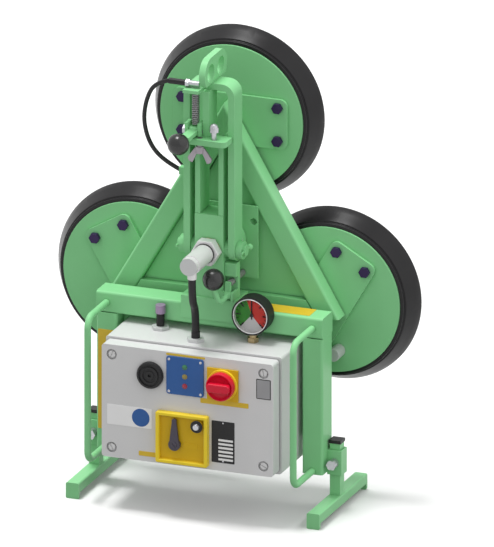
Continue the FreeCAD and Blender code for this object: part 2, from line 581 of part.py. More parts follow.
lever_at = ("-lever_place", "lever_lift")
lock_at = ("lock_place", "lock_lift")
tray = rounded(tray_span("0", TRAY_FRONT, "-lid_front"), "tray_corner", runs_along("y"))
tray_room = tray_span("tray_rim", f"{TRAY_FRONT} - overrun", TRAY_FLOOR)
lock_guide = rod("y", (f"{TRAY_FLOOR} - lock_guide_height", TRAY_FLOOR), lock_at, "lock_guide")
lever_bore = rod("y", (f"{TRAY_FLOOR} - overrun", "overrun - lid_front"), lever_at,
                 "lever_shaft + 2 * running_clearance")
lock_bore = rod("y", (f"{TRAY_FLOOR} - lock_guide_height - overrun", "overrun - lid_front"), lock_at,
                "lock_stem + 2 * slide_clearance")
node("valve_tray", cut(fuse(cut(tray, tray_room), lock_guide), lever_bore, lock_bore))
lever_back = f"{TRAY_FLOOR} - side_clearance - lever_boss_height"
lever_face = f"{lever_back} - lever_thickness"
LEVER_END = "lever_lift + lever_reach - lever_tip / 2"
blade_points = [("-lever_neck / 2", "lever_lift"), ("lever_neck / 2", "lever_lift"),
                ("lever_point / 2", LEVER_END), ("-lever_point / 2", LEVER_END)]
blade_wire = Part.makePolygon([point(f"-lever_place + {x}", lever_face, z)
                               for x, z in blade_points + blade_points[:1]])
blade = shape(Part.Face(blade_wire).extrude(Vector(0, size("lever_thickness"), 0)))
node("valve_lever", fuse(
    blade,
    rod("y", (lever_face, f"{TRAY_FLOOR} - side_clearance"), lever_at, "lever_root"),
    rod("y", (lever_face, lever_back), ("-lever_place", LEVER_END), "lever_tip"),
    rod("y", (lever_back, "box_wall - lid_front"), lever_at, "lever_shaft")))
valve_front = "box_wall - lid_front + side_clearance"
node("valve_body", box(
    ("-lever_place - valve_body_width / 2", "valve_body_width / 2 - lever_place"),
    (valve_front, f"{valve_front} + valve_body_depth"),
    ("lever_lift - valve_body_height / 2", "lever_lift + valve_body_height / 2")))
lock_back = f"{TRAY_FLOOR} - lock_guide_height - lock_travel - side_clearance"
node("valve_lock_button", fuse(
    rod("y", (f"{lock_back} - lock_height", lock_back), lock_at, "lock_diameter"),
    rod("y", (f"{lock_back} - lock_height - lock_pin_height", lock_back), lock_at, "lock_pin"),
    rod("y", (lock_back, "box_wall - lid_front"), lock_at, "lock_stem")))

# Box top: exhaust silencer, hose gland and the vacuum gauge with its needle
silencer_at = ("-silencer_place", "-silencer_depth")
stem_top = f"{BOX_TOP} + gland_nut_height + silencer_stem_length"
node("silencer", fuse(
    hexagon("z", (BOX_TOP, f"{BOX_TOP} + gland_nut_height"), silencer_at, "gland_nut"),
    rod("z", (f"{BOX_TOP} - box_wall", stem_top), silencer_at, "silencer_stem"),
    rod("z", (stem_top, f"{stem_top} + silencer_cap_length"), silencer_at, "silencer_cap")))
gland_at = ("-gland_place", "-gland_depth")
GLAND_TOP = f"({BOX_TOP} + gland_nut_height + gland_collar_height)"
node("hose_gland", fuse(
    hexagon("z", (BOX_TOP, f"{BOX_TOP} + gland_nut_height"), gland_at, "gland_nut"),
    rod("z", (f"{BOX_TOP} - box_wall", GLAND_TOP), gland_at, "gland_thread")))
GAUGE_HEIGHT = f"({BOX_TOP} + gauge_lift)"
gauge_at = ("gauge_place", GAUGE_HEIGHT)
GAUGE_FRONT = "(-gauge_depth - gauge_length / 2)"
gauge_back = "gauge_length / 2 - gauge_depth"
DIAL_FRONT = f"({GAUGE_FRONT} + gauge_dial_sink)"
dial_back = f"{DIAL_FRONT} + gauge_dial_thickness"
GAUGE_BORE = "(gauge_diameter - 2 * gauge_wall)"
case = rod("y", (GAUGE_FRONT, gauge_back), gauge_at, "gauge_diameter")
case_room = rod("y", (f"{GAUGE_FRONT} - overrun", dial_back), gauge_at, GAUGE_BORE)
stem_at = ("gauge_place", "-gauge_depth")
stem_end = f"{GAUGE_HEIGHT} - {GAUGE_BORE} / 2"
stem_hole = rod("z", (f"{GAUGE_HEIGHT} - gauge_diameter / 2 - overrun", stem_end), stem_at, "gauge_stem")
node("gauge_case", cut(case, case_room, stem_hole))
dial = rod("y", (DIAL_FRONT, dial_back), gauge_at, GAUGE_BORE)
pin_front = f"{DIAL_FRONT} - needle_gap"
node("gauge_dial", fuse(dial, rod("y", (pin_front, DIAL_FRONT), gauge_at, "needle_pin")))
node("gauge_lens", rod("y", (GAUGE_FRONT, f"{GAUGE_FRONT} + gauge_lens_thickness"), gauge_at, GAUGE_BORE))
needle_back = f"{pin_front} - running_clearance"
needle_front = f"{needle_back} - needle_thickness"
node("gauge_needle", fuse(
    box(("gauge_place - needle_width / 2", "gauge_place + needle_width / 2"), (needle_front, needle_back),
        (f"{GAUGE_HEIGHT} - needle_tail", f"{GAUGE_HEIGHT} + needle_length")),
    rod("y", (f"{needle_front} - needle_thickness", needle_back), gauge_at, "needle_hub")))
node("gauge_stem", fuse(
    rod("z", (f"{BOX_TOP} - box_wall", stem_end), stem_at, "gauge_stem"),
    hexagon("z", (BOX_TOP, f"{BOX_TOP} + gauge_hex_height"), stem_at, "gauge_hex")))

# Hub: saddle over the beam, bearing block, mast, bushes and pivot stubs
SADDLE_HALF = "saddle_width / 2"
saddle = box((f"-{SADDLE_HALF}", SADDLE_HALF), ("-saddle_wall", "beam_depth + saddle_wall"),
             (f"{BEAM_TOP} - saddle_drop", SADDLE_TOP))
saddle_room = box((f"-{SADDLE_HALF} - overrun", f"{SADDLE_HALF} + overrun"), ("0", "beam_depth"),
                  (f"{BEAM_TOP} - saddle_drop - overrun", BEAM_TOP))
BLOCK_HALF = "block_width / 2"
hub_at = ("0", "hub_height")
block = box((f"-{BLOCK_HALF}", BLOCK_HALF), ("-block_front", BLOCK_BACK), (SADDLE_TOP, "block_top"))
block_bore = rod("y", ("-block_front - overrun", f"{BLOCK_BACK} + overrun"), hub_at, "bush_diameter")
node("hub_block", cut(fuse(cut(saddle, saddle_room), block), block_bore))
mast = box((f"-{BLOCK_HALF}", BLOCK_HALF), ("mast_set_back - block_front", BLOCK_BACK),
           ("block_top", "mast_top"))
mast_room = box((f"mast_wall - {BLOCK_HALF}", f"{BLOCK_HALF} - mast_wall"),
                ("-block_front - overrun", f"{BLOCK_BACK} + overrun"),
                ("block_top - overrun", "mast_top + overrun"))
node("mast", cut(mast, mast_room))
BUSH_BORE = "axle_diameter + 2 * running_clearance"
BUSH_FRONT = "(-block_front - bush_flange_thickness)"
BUSH_BACK = f"({BLOCK_BACK} + bush_flange_thickness)"
bush = fuse(rod("y", ("-block_front", BLOCK_BACK), hub_at, "bush_diameter"),
            rod("y", (BUSH_FRONT, "-block_front"), hub_at, "bush_flange"),
            rod("y", (BLOCK_BACK, BUSH_BACK), hub_at, "bush_flange"))
bush_bore = rod("y", (f"{BUSH_FRONT} - overrun", f"{BUSH_BACK} + overrun"), hub_at, BUSH_BORE)
node("hub_bush", cut(bush, bush_bore))

pivot_at = (PIVOT_DEPTH, "hub_height")
BAIL_OUTER = "bail_width / 2"
BAIL_INNER = f"({BAIL_OUTER} - bail_thickness)"
pivots = []
collars = []
split_pins = []
for side, sign in SIDES:
    stub_end = f"{BLOCK_HALF} + pivot_length"
    pin_x = f"{stub_end} - split_pin_inset"
    stub = rod("x", mirrored(sign, BLOCK_HALF, stub_end), pivot_at, "pivot_diameter")
    pin_hole = rod("y", (f"{PIVOT_DEPTH} - pivot_diameter", f"{PIVOT_DEPTH} + pivot_diameter"),
                   (f"{sign} * ({pin_x})", "hub_height"), "split_pin_diameter")
    pivots.append(cut(stub, pin_hole))
    for low, high in ((BLOCK_HALF, f"{BAIL_INNER} - side_clearance"),
                      (f"{BAIL_OUTER} + side_clearance", f"{BAIL_OUTER} + side_clearance + outer_collar")):
        collar = rod("x", mirrored(sign, low, high), pivot_at, "collar_diameter")
        hole = rod("x", mirrored(sign, f"{low} - overrun", f"{high} + overrun"), pivot_at, "pivot_diameter")
        collars.append(cut(collar, hole))
    pin_front = f"{PIVOT_DEPTH} - split_pin_length / 2"
    pin_back = f"{PIVOT_DEPTH} + split_pin_length / 2"
    split_pins.append(fuse(
        rod("y", (pin_front, pin_back), (f"{sign} * ({pin_x})", "hub_height"), "split_pin_diameter"),
        ball(f"{sign} * ({pin_x})", pin_back, "hub_height", "split_pin_eye")))
node("pivot_stubs", group(*pivots))
node("pivot_retainers", group(*collars, *split_pins))

# Rotary union on the axle's nose, and the vacuum hose down to the box
NUT_BACK = f"({BUSH_FRONT} - side_clearance)"
NUT_FRONT = f"({NUT_BACK} - hub_nut_height)"
union_back = f"{NUT_FRONT} - side_clearance"
nose_front = f"{NUT_FRONT} - nose_length"
union_bore = rod("y", (f"{nose_front} - side_clearance", f"{union_back} + overrun"), hub_at,
                 "nose_diameter + 2 * running_clearance")
BARB_END = "(hub_height - union_diameter / 2 - barb_drop)"
union = fuse(rod("y", ("union_step_length - union_front", union_back), hub_at, "union_diameter"),
             rod("y", ("-union_front", "union_step_length - union_front"), hub_at, "union_step"),
             rod("z", (BARB_END, "hub_height"), ("0", "-barb_depth"), "barb_diameter"))
node("rotary_union", cut(union, union_bore))
HUB_HOSE_ROUTE = [("0", "-barb_depth", BARB_END), ("0", "hose_lean - barb_depth", f"{BARB_END} - hose_fall"),
                  ("hose_side - gland_place", "-gland_depth - hose_swing", f"{GLAND_TOP} + hose_rise"),
                  ("-gland_place", "-gland_depth", GLAND_TOP)]
node("hub_hose", hose("hub_hose", [point(*at) for at in HUB_HOSE_ROUTE], size("hub_hose_diameter")))

# Hanger: flat bar bent over the mast, with the lifting eye on its head
PIVOT_BORE = "pivot_diameter + 2 * running_clearance"
bail_span = ("-block_front", "bail_depth - block_front")
outer = box((f"-{BAIL_OUTER}", BAIL_OUTER), bail_span, ("hub_height", "bail_top"))
upper_corner = worked("hub_height + bail_depth")


def top_edge(middle, direction):
    return abs(direction.y) > 0.999 and middle.z > upper_corner


inner = box((f"-{BAIL_INNER}", BAIL_INNER), ("-block_front - overrun", "bail_depth - block_front + overrun"),
            ("hub_height - overrun", "bail_top - bail_thickness"))
arch = cut(rounded(outer, "bail_corner", top_edge), rounded(inner, "bail_corner - bail_thickness", top_edge))
bail_ends = [rod("x", mirrored(sign, BAIL_INNER, BAIL_OUTER), pivot_at, "bail_depth")
             for side, sign in SIDES]
bores = [rod("x", mirrored(sign, f"{BAIL_INNER} - overrun", f"{BAIL_OUTER} + overrun"), pivot_at, PIVOT_BORE)
         for side, sign in SIDES]
bail_bar = cut(fuse(arch, *bail_ends), *bores)
EYE_HEIGHT = "(bail_top + eye_lift)"
eye_x = ("-eye_thickness / 2", "eye_thickness / 2")
EYE_FRONT = f"({PIVOT_DEPTH} - eye_pitch / 2)"
EYE_REAR = f"({PIVOT_DEPTH} + eye_pitch / 2)"
eye_holes = []
lobes = []
for depth in (EYE_FRONT, EYE_REAR):
    lobes.append(rod("x", eye_x, (depth, EYE_HEIGHT), "2 * eye_radius"))
    eye_holes.append(rod("x", ("-eye_thickness", "eye_thickness"), (depth, EYE_HEIGHT), "eye_hole"))
web = box(eye_x, (EYE_FRONT, EYE_REAR), ("bail_top", f"{EYE_HEIGHT} + eye_radius"))
below = box(("-eye_thickness", "eye_thickness"),
            (f"{EYE_FRONT} - eye_radius - overrun", f"{EYE_REAR} + eye_radius + overrun"),
            ("bail_top - eye_radius", "bail_top"))
node("lifting_eye", cut(fuse(*lobes, web), below, *eye_holes))

# Tilt latch: shelf on the bail bars, lever with ball knob, return spring, stop stud and wing nut
SHELF_FRONT = "(-block_front - shelf_depth)"
SHELF_LOW = "(shelf_top - shelf_thickness)"


def front_corner(middle, direction):
    return abs(direction.z) > 0.999 and middle.y < worked(f"{SHELF_FRONT} - {MIDDLE}") + size("overrun")


shelf = rounded(box(("-shelf_width / 2", "shelf_width / 2"), (SHELF_FRONT, "-block_front"),
                    (SHELF_LOW, "shelf_top")), "shelf_corner", front_corner)
stud_y = "-block_front - stud_depth"
LUG_INNER = "(latch_place - latch_arm_width / 2 - side_clearance)"
LUG_OUTER = "(latch_place + latch_arm_width / 2 + side_clearance)"
LATCH_HEIGHT = "(shelf_top + latch_pivot_lift)"
LATCH_DEPTH = "(-block_front - latch_pivot_depth)"
latch_axis = (LATCH_DEPTH, LATCH_HEIGHT)
lug_y = (f"{LATCH_DEPTH} - latch_lug_depth / 2", f"{LATCH_DEPTH} + latch_lug_depth / 2")
lugs = []
for low, high in ((f"{LUG_INNER} - latch_lug_thickness", LUG_INNER),
                  (LUG_OUTER, f"{LUG_OUTER} + latch_lug_thickness")):
    lug = box((f"-({high})", f"-({low})"), lug_y, ("shelf_top", "shelf_top + latch_lug_height"))
    lug_bore = rod("x", (f"-({high}) - overrun", f"-({low}) + overrun"), latch_axis, "latch_pin")
    lugs.append(cut(lug, lug_bore))
through_shelf = (f"{SHELF_LOW} - overrun", "shelf_top + overrun")
stud_hole = rod("z", through_shelf, ("acorn_place", stud_y), "stud_diameter")
wing_hole = rod("z", through_shelf, ("-wing_place", stud_y), "stud_diameter + 2 * running_clearance")
node("latch_shelf", cut(fuse(shelf, *lugs), stud_hole, wing_hole))
pin_head = f"-{LUG_OUTER} - latch_lug_thickness"
pivot_bolt = fuse(
    rod("x", (pin_head, f"latch_lug_thickness - {LUG_INNER}"), latch_axis, "latch_pin"),
    hexagon("x", (f"{pin_head} - latch_pin_head_height", pin_head), latch_axis, "latch_pin_head"))
arm_x = ("-latch_place - latch_arm_width / 2", "latch_arm_width / 2 - latch_place")
arm_front = f"{LATCH_DEPTH} - latch_arm_reach"
arm_z = (f"{LATCH_HEIGHT} - latch_arm_thickness / 2", f"{LATCH_HEIGHT} + latch_arm_thickness / 2")
SPRING_SEAT = f"({LATCH_HEIGHT} + latch_boss / 2)"
arm = fuse(box(arm_x, (arm_front, LATCH_DEPTH), arm_z),
           box(arm_x, (LATCH_DEPTH, f"{LATCH_DEPTH} + latch_tail"), (arm_z[0], SPRING_SEAT)))
knob_at = ("-latch_place", LATCH_HEIGHT)
arm_boss = rod("x", arm_x, latch_axis, "latch_boss")
pin_bore = rod("x", (f"{arm_x[0]} - overrun", f"{arm_x[1]} + overrun"), latch_axis,
               "latch_pin + 2 * running_clearance")
shank = rod("y", (f"{arm_front} - ball_shank_length", arm_front), knob_at, "ball_shank")
node("latch_lever", cut(fuse(arm, arm_boss, shank), pin_bore))
BALL_FRONT = f"({arm_front} - ball_shank_length)"
BALL_MIDDLE = f"({BALL_FRONT} - ball_diameter / 2)"
ball_flat = box(("-latch_place - ball_diameter", "ball_diameter - latch_place"),
                (BALL_FRONT, f"{BALL_FRONT} + ball_diameter"),
                (f"{LATCH_HEIGHT} - ball_diameter", f"{LATCH_HEIGHT} + ball_diameter"))
latch_ball = ball("-latch_place", f"{BALL_MIDDLE} + ball_flat", LATCH_HEIGHT, "ball_diameter")
node("latch_knob", cut(latch_ball, ball_flat))


def biarc(start, heading, end, final):
    """Two tangent arcs from start to end with the given directions."""
    chord = end - start
    both = chord.dot(heading + final)
    turn = 2 * (1 - heading.dot(final))
    reach = (math.sqrt(both ** 2 + turn * chord.dot(chord)) - both) / turn
    first = start + heading * reach
    second = end - final * reach
    joint = (first + second) * 0.5
    edges = []
    for low, corner, high in ((start, first, joint), (joint, second, end)):
        half = (corner - low).getAngle(high - corner) / 2
        radius = reach / math.tan(half)
        inward = ((high - corner).normalize() - (corner - low).normalize()).normalize()
        edges.append(Part.Arc(low, corner + inward * (radius / math.cos(half) - radius), high).toShape())
    return edges


def coil_spring(foot, height):
    """An open coil with straight ends, as one tube, and its least gap to itself."""
    wire = size("spring_wire")
    seat = wire / 2 + size("side_clearance")
    radius = size("spring_diameter") / 2
    turns = int(size("spring_turns"))
    rise = (height - 2 * seat) / turns
    slope = math.atan2(rise, 2 * math.pi * radius)

    def on_helix(quarter):
        angle = quarter * math.pi / 2
        at = foot + Vector(radius * math.cos(angle), radius * math.sin(angle), seat + rise * quarter / 4)
        level = math.cos(slope)
        return at, Vector(-math.sin(angle) * level, math.cos(angle) * level, math.sin(slope))

    edges = []
    for quarter in range(4 * turns):
        edges += biarc(*on_helix(quarter), *on_helix(quarter + 1))
    path = Part.Wire(edges)
    print("latch_spring turns", turns, "least gap", round(rise * math.cos(slope) - wire, 2))
    return shape(pipe(path, wire))


SPRING_TOP = "(bail_top - bail_thickness)"
spring_foot = point("-latch_place", f"{LATCH_DEPTH} + spring_back", SPRING_SEAT)
spring_height = worked(f"{SPRING_TOP} - {SPRING_SEAT}")
node("latch_spring", coil_spring(spring_foot, spring_height))
bracket_x = ("-latch_place - spring_bracket_width / 2", "spring_bracket_width / 2 - latch_place")
spring_bracket = box(bracket_x, ("-block_front - spring_bracket_depth", "-block_front"),
                     (SPRING_TOP, f"{SPRING_TOP} + spring_bracket_thickness"))
clip_x = (f"-{BAIL_OUTER} - line_clip_thickness", f"-{BAIL_OUTER}")
line_clip = box(clip_x, (f"{PIVOT_DEPTH} - line_clip_width / 2", f"{PIVOT_DEPTH} + line_clip_width / 2"),
                ("line_clip_height - line_clip_width / 2", "line_clip_height + line_clip_width / 2"))
tongue = box(eye_x, ("-tongue_front", "tongue_back"), ("shelf_top", SPRING_TOP))
node("bail", fuse(bail_bar, spring_bracket, line_clip, tongue))
acorn_at = ("acorn_place", stud_y)
acorn_top = "shelf_top + acorn_lift + acorn_height"
stop_stud = fuse(
    rod("z", (SHELF_LOW, acorn_top), acorn_at, "stud_diameter"),
    hexagon("z", ("shelf_top + acorn_lift", acorn_top), acorn_at, "acorn_width"),
    ball("acorn_place", stud_y, acorn_top, "acorn_width"))
node("latch_fasteners", group(pivot_bolt, stop_stud))
wing_at = ("-wing_place", stud_y)
WING_TOP = f"({SHELF_LOW} - wing_gap)"
wing_low = f"{WING_TOP} - wing_hub_height"
WING_SHARES = ((0.2, 0.12), (0.4, 0.1), (1, 0.7), (0.92, 0.92), (0.62, 1), (0.22, 0.4))
wings = []
for side, sign in SIDES:
    corners = [point(f"{sign} * {out} * wing_span / 2 - wing_place", f"{stud_y} - wing_thickness / 2",
                     f"{WING_TOP} - {down} * wing_height") for out, down in WING_SHARES]
    wing_face = Part.Face(Part.makePolygon(corners + corners[:1]))
    wings.append(shape(wing_face.extrude(Vector(0, size("wing_thickness"), 0))))
node("wing_nut", fuse(
    rod("z", (wing_low, WING_TOP), wing_at, "wing_hub"),
    rod("z", (wing_low, "shelf_top - side_clearance"), wing_at, "stud_diameter"),
    *wings))

# Control line on the hanger: fitting on the bracket, a loop to the left, back into the bar's clip
FITTING_HEIGHT = f"({SPRING_TOP} + spring_bracket_thickness + line_nut / sqrt(3))"
fitting_x = "-latch_place - spring_bracket_width / 2"
fitting_end = f"{fitting_x} - line_ferrule"
fitting_at = ("-block_front - spring_bracket_depth / 2", FITTING_HEIGHT)
node("line_fitting", fuse(
    rod("x", (fitting_end, f"{fitting_x} + line_fitting_length"), fitting_at, "line_fitting"),
    hexagon("x", (fitting_x, f"{fitting_x} + line_nut_length"), fitting_at, "line_nut")))
LINE_ROUTE = [(-70, -20.5, -1.5), (-98, -19, 6), (-118, -12, 44), (-126, -4, 90), (-116, 5, 136),
              (-91, 13, 166), (-63, 17.5, 180)]
line_points = [point(x, y, f"bail_top - ({drop})") for x, y, drop in LINE_ROUTE]
node("control_line", hose("control_line", line_points, size("line_diameter")))

# Rotation lock: bracket on the saddle, lever with ball knob, and the plunger it pushes into the hub plate
BRACKET_X = "(block_width / 2 + index_bracket_gap)"
index_x = (BRACKET_X, f"{BRACKET_X} + index_bracket_width")
INDEX_MIDDLE = f"({BRACKET_X} + index_bracket_width / 2)"
bracket_back = "index_bracket_front + index_bracket_depth"
plunger_at = (INDEX_MIDDLE, "plunger_height")
wall_front = f"{bracket_back} - index_wall"
wall = cut(box(index_x, (wall_front, bracket_back), (SADDLE_TOP, "index_bracket_top")),
           rod("y", (f"{wall_front} - overrun", f"{bracket_back} + overrun"), plunger_at,
               "plunger_diameter + 2 * slide_clearance"))
roof = box(index_x, ("index_bracket_front", wall_front),
           ("plunger_height + plunger_diameter / 2 + plunger_cover", "index_bracket_top"))
ear_y = ("index_bracket_front - index_ear_reach", wall_front)
ear_z = (SADDLE_TOP, "index_pivot_height + index_boss / 2")
index_axis = ("-index_pivot_depth", "index_pivot_height")
node("index_bracket", fuse(
    wall, roof,
    box((index_x[0], f"{index_x[0]} + index_ear"), ear_y, ear_z),
    box((f"{index_x[1]} - index_ear", index_x[1]), ear_y, ear_z),
    rod("x", index_x, index_axis, "index_pin")))
boss_x = (f"{index_x[0]} + index_ear + side_clearance", f"{index_x[1]} - index_ear - side_clearance")
FINGER_BACK = "(-plunger_start - index_finger_gap)"
finger = box((f"{INDEX_MIDDLE} - index_finger_width / 2", f"{INDEX_MIDDLE} + index_finger_width / 2"),
             (f"{FINGER_BACK} - index_finger_depth", FINGER_BACK),
             ("index_pivot_height", "plunger_height + plunger_nose"))
KNOB_FOOT = "(index_knob_height - ball_diameter / 2 + ball_flat)"
rod_route = [point(INDEX_MIDDLE, "-index_pivot_depth", "index_pivot_height"),
             point("index_dip_place", "-index_dip_depth", "index_pivot_height - index_dip"),
             point("index_knob_place", "-index_knob_depth", KNOB_FOOT)]
lever_rod = shape(pipe(bent_path(rod_route, size("index_rod_bend"))[0], size("index_rod")))
square_end = box(("index_knob_place - ball_diameter", "index_knob_place + ball_diameter"),
                 ("-index_knob_depth - ball_diameter", "ball_diameter - index_knob_depth"),
                 (KNOB_FOOT, f"{KNOB_FOOT} + ball_diameter"))
pin_bore = rod("x", (f"{boss_x[0]} - overrun", f"{boss_x[1]} + overrun"), index_axis,
               "index_pin + 2 * running_clearance")
node("index_lever", cut(fuse(rod("x", boss_x, index_axis, "index_boss"), finger, lever_rod),
                        square_end, pin_bore))
knob_floor = box(("index_knob_place - ball_diameter", "index_knob_place + ball_diameter"),
                 ("-index_knob_depth - ball_diameter", "ball_diameter - index_knob_depth"),
                 (f"{KNOB_FOOT} - ball_diameter", KNOB_FOOT))
node("index_knob", cut(ball("index_knob_place", "-index_knob_depth", "index_knob_height", "ball_diameter"),
                       knob_floor))
plunger_root = "plunger_nose_length - plunger_start"
node("index_plunger", fuse(
    rod("y", ("-plunger_start", plunger_root), plunger_at, "plunger_nose"),
    rod("y", (plunger_root, "hub_plate_front - plunger_gap"), plunger_at, "plunger_diameter")))

# Turning frame: axle with its nut, hub plate with four lock holes, web plate and tube bars
FLANGE_FRONT = f"({BUSH_BACK} + side_clearance)"
node("hub_axle", fuse(
    rod("y", (FLANGE_FRONT, "hub_plate_front"), hub_at, "axle_flange"),
    rod("y", (NUT_FRONT, FLANGE_FRONT), hub_at, "axle_diameter"),
    rod("y", (nose_front, NUT_FRONT), hub_at, "nose_diameter")))
nut = hexagon("y", (NUT_FRONT, NUT_BACK), hub_at, "hub_nut_width")
nut_bore = rod("y", (f"{NUT_FRONT} - overrun", f"{NUT_BACK} + overrun"), hub_at, "axle_diameter")
node("hub_nut", cut(nut, nut_bore))
WEB_FRONT = "(bar_front + web_depth)"
PLATE_HALF = "hub_plate_width / 2"
hub_centre = Vector(0, 0, size("hub_height"))


def turned(item, angle):
    """Turn a finished item about the hub axis."""
    item.Placement = FreeCAD.Placement(Vector(), FreeCAD.Rotation(Vector(0, 1, 0), angle), hub_centre)
    return item


lock_span = ("hub_plate_front - overrun", f"{WEB_FRONT} + overrun")
CORE_HALF = "hub_core_width / 2"
hub_plate = fuse(
    box((f"-{PLATE_HALF}", PLATE_HALF), ("hub_plate_front", "bar_front"),
        (f"hub_height - {PLATE_HALF}", f"hub_height + {PLATE_HALF}")),
    box((f"-{CORE_HALF}", CORE_HALF), ("bar_front", WEB_FRONT),
        (f"hub_height - {CORE_HALF}", f"hub_height + {CORE_HALF}")))
for angle in (0, 90, 180, 270):
    hole = group(rod("y", lock_span, plunger_at, "plunger_diameter + 2 * slide_clearance"))
    hub_plate = cut(hub_plate, turned(hole, angle))
node("hub_plate", hub_plate)

ROOT3 = math.sqrt(3)
hub_z = size("hub_height")
bar_middle = size("cup_circle") / 2
bar_outer = bar_middle + size("bar_width") / 2
bar_inner = bar_middle - size("bar_width") / 2
base_top = size("base_bar_top")
base_low = base_top - size("bar_width")
end_low = size("bar_end_height")


def bar_x(distance, z):
    """Where a line at that distance from the hub, sloped as the right bar, meets a height."""
    return (2 * distance - (z - hub_z)) / ROOT3


def slab(outline, front, depth):
    """A flat piece from its outline of X and Z places."""
    corners = [Vector(x, worked(front) - worked(MIDDLE), z) for x, z in outline]
    return shape(Part.Face(Part.makePolygon(corners + corners[:1])).extrude(Vector(0, worked(depth), 0)))


def slopes(middle, direction):
    return abs(abs(direction.x) - 0.5) < 0.01 and abs(direction.y) < 0.01


wall = size("tube_wall")
reach = size("overrun")
bars = []
for side, sign in SIDES:
    way = int(sign)
    outline = [(0, hub_z + 2 * bar_inner), (0, hub_z + 2 * bar_outer), (bar_x(bar_outer, end_low), end_low),
               (bar_x(bar_inner, end_low), end_low)]
    hollow_low = end_low - reach
    hollow_inner = bar_inner + wall
    hollow_outer = bar_outer - wall
    room = [(0, hub_z + 2 * hollow_inner), (0, hub_z + 2 * hollow_outer),
            (bar_x(hollow_outer, hollow_low), hollow_low), (bar_x(hollow_inner, hollow_low), hollow_low)]
    bar = slab([(way * x, z) for x, z in outline], "bar_front", "bar_depth")
    solid = rounded(bar, "tube_corner", slopes)
    core = slab([(way * x, z) for x, z in room], "bar_front + tube_wall", "bar_depth - 2 * tube_wall")
    bars.append(cut(solid, core))
base_outline = [(way * bar_x(bar_inner, z), z) for way, z in
                ((-1, base_top), (1, base_top), (1, base_low), (-1, base_low))]
base_room = [(way * bar_x(bar_inner + reach, z), z) for way, z in
             ((-1, base_top - wall), (1, base_top - wall), (1, base_low + wall), (-1, base_low + wall))]
bars.append(cut(slab(base_outline, "bar_front", "bar_depth"),
                slab(base_room, "bar_front + tube_wall", "bar_depth - 2 * tube_wall")))
web_outline = [(0, hub_z + 2 * bar_inner), (bar_x(bar_inner, base_top), base_top),
               (-bar_x(bar_inner, base_top), base_top)]
node("web_plate", slab(web_outline, WEB_FRONT, "web_thickness"))

# Suction cups: welded plates, steel discs, flared rubber seals, bolts and vacuum ports
CUP_HEIGHT = "(hub_height + cup_circle)"
PLATE_FRONT = "(bar_front + bar_depth)"
DISC_BACK = f"({DISC_FRONT} + disc_thickness)"
BOLT_PLACES = [(f"{x} * cup_bolt_spread / 2", f"{CUP_HEIGHT} + {z} * cup_bolt_pitch / 2")
               for x in (-1, 1) for z in (-1, 1)]
plates = []
discs = []
seals = []
bolts = []
for angle in (0, 120, -120):
    holes = [rod("y", (f"{PLATE_FRONT} - overrun", f"{DISC_BACK} + overrun"), at, "cup_bolt_diameter")
             for at in BOLT_PLACES]
    plate = rounded(box(("-cup_plate_length / 2", "cup_plate_length / 2"), (PLATE_FRONT, DISC_FRONT),
                        (f"{CUP_HEIGHT} - cup_plate_width / 2", f"{CUP_HEIGHT} + cup_plate_width / 2")),
                    "cup_plate_corner", runs_along("y"))
    plates.append(turned(cut(plate, *holes), angle))
    disc = rod("y", (DISC_FRONT, DISC_BACK), ("0", CUP_HEIGHT), "disc_diameter")
    holes = [rod("y", (f"{PLATE_FRONT} - overrun", f"{DISC_BACK} + overrun"), at, "cup_bolt_diameter")
             for at in BOLT_PLACES]
    discs.append(turned(cut(disc, *holes), angle))
    for at in BOLT_PLACES:
        head = hexagon("y", (f"{PLATE_FRONT} - cup_bolt_head_height", PLATE_FRONT), at, "cup_bolt_head")
        shank = rod("y", (PLATE_FRONT, DISC_BACK), at, "cup_bolt_diameter")
        bolts.append(turned(fuse(head, shank), angle))
    profile = [("disc_diameter / 2", f"{DISC_FRONT} + seal_front"),
               ("seal_collar", f"{DISC_FRONT} + seal_front"),
               ("seal_collar", SEAL_FLARE), ("seal_root", SEAL_FLARE),
               ("seal_rim", f"{SEAL_FLARE} + seal_flare_depth"), ("seal_rim", SEAL_BACK),
               ("seal_rim - seal_lip_width", SEAL_BACK),
               ("disc_diameter / 2 - seal_seat", f"{DISC_BACK} + seal_web"),
               ("disc_diameter / 2 - seal_seat", DISC_BACK), ("disc_diameter / 2", DISC_BACK)]
    corners = [point(radius, depth, CUP_HEIGHT) for radius, depth in profile]
    section = Part.Face(Part.makePolygon(corners + corners[:1]))
    seals.append(turned(shape(section.revolve(point("0", "0", CUP_HEIGHT), Vector(0, 1, 0), 360)), angle))
node("frame_bars", group(*bars, *plates))
node("cup_discs", group(*discs))
node("cup_seals", group(*seals))
node("cup_bolts", group(*bolts))
SIDE_CUP = "cup_circle * sqrt(3) / 2 + port_side"
low_port = "hub_height - cup_circle / 2 - port_drop"
ports = [rod("y", (f"{DISC_FRONT} - port_length / 2", DISC_FRONT), ("0", f"{CUP_HEIGHT} - port_drop"),
             "port_diameter")]
for side, sign in SIDES:
    ports.append(rod("y", (f"{DISC_FRONT} - port_length", DISC_FRONT), (f"{sign} * ({SIDE_CUP})", low_port),
                     "port_diameter"))
node("vacuum_ports", group(*ports))

# Check every object, then write one file for each sub-part
doc.recompute()
faults = [item.Name for item in doc.Objects if "Invalid" in item.State or "Error" in item.State]
for label, item in NODES.items():
    if item.Shape.isNull() or not item.Shape.isValid() or not item.Shape.Solids:
        faults.append(label)
if faults:
    raise RuntimeError("failed: " + ", ".join(faults))
os.makedirs("parts", exist_ok=True)
for label, item in NODES.items():
    item.Shape.exportStep(f"parts/{label}.step")
print(len(NODES), "sub-parts,", sum(len(item.Shape.Solids) for item in NODES.values()), "solids")
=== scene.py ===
import json
import math

import bmesh
import bpy
from mathutils import Matrix, Vector

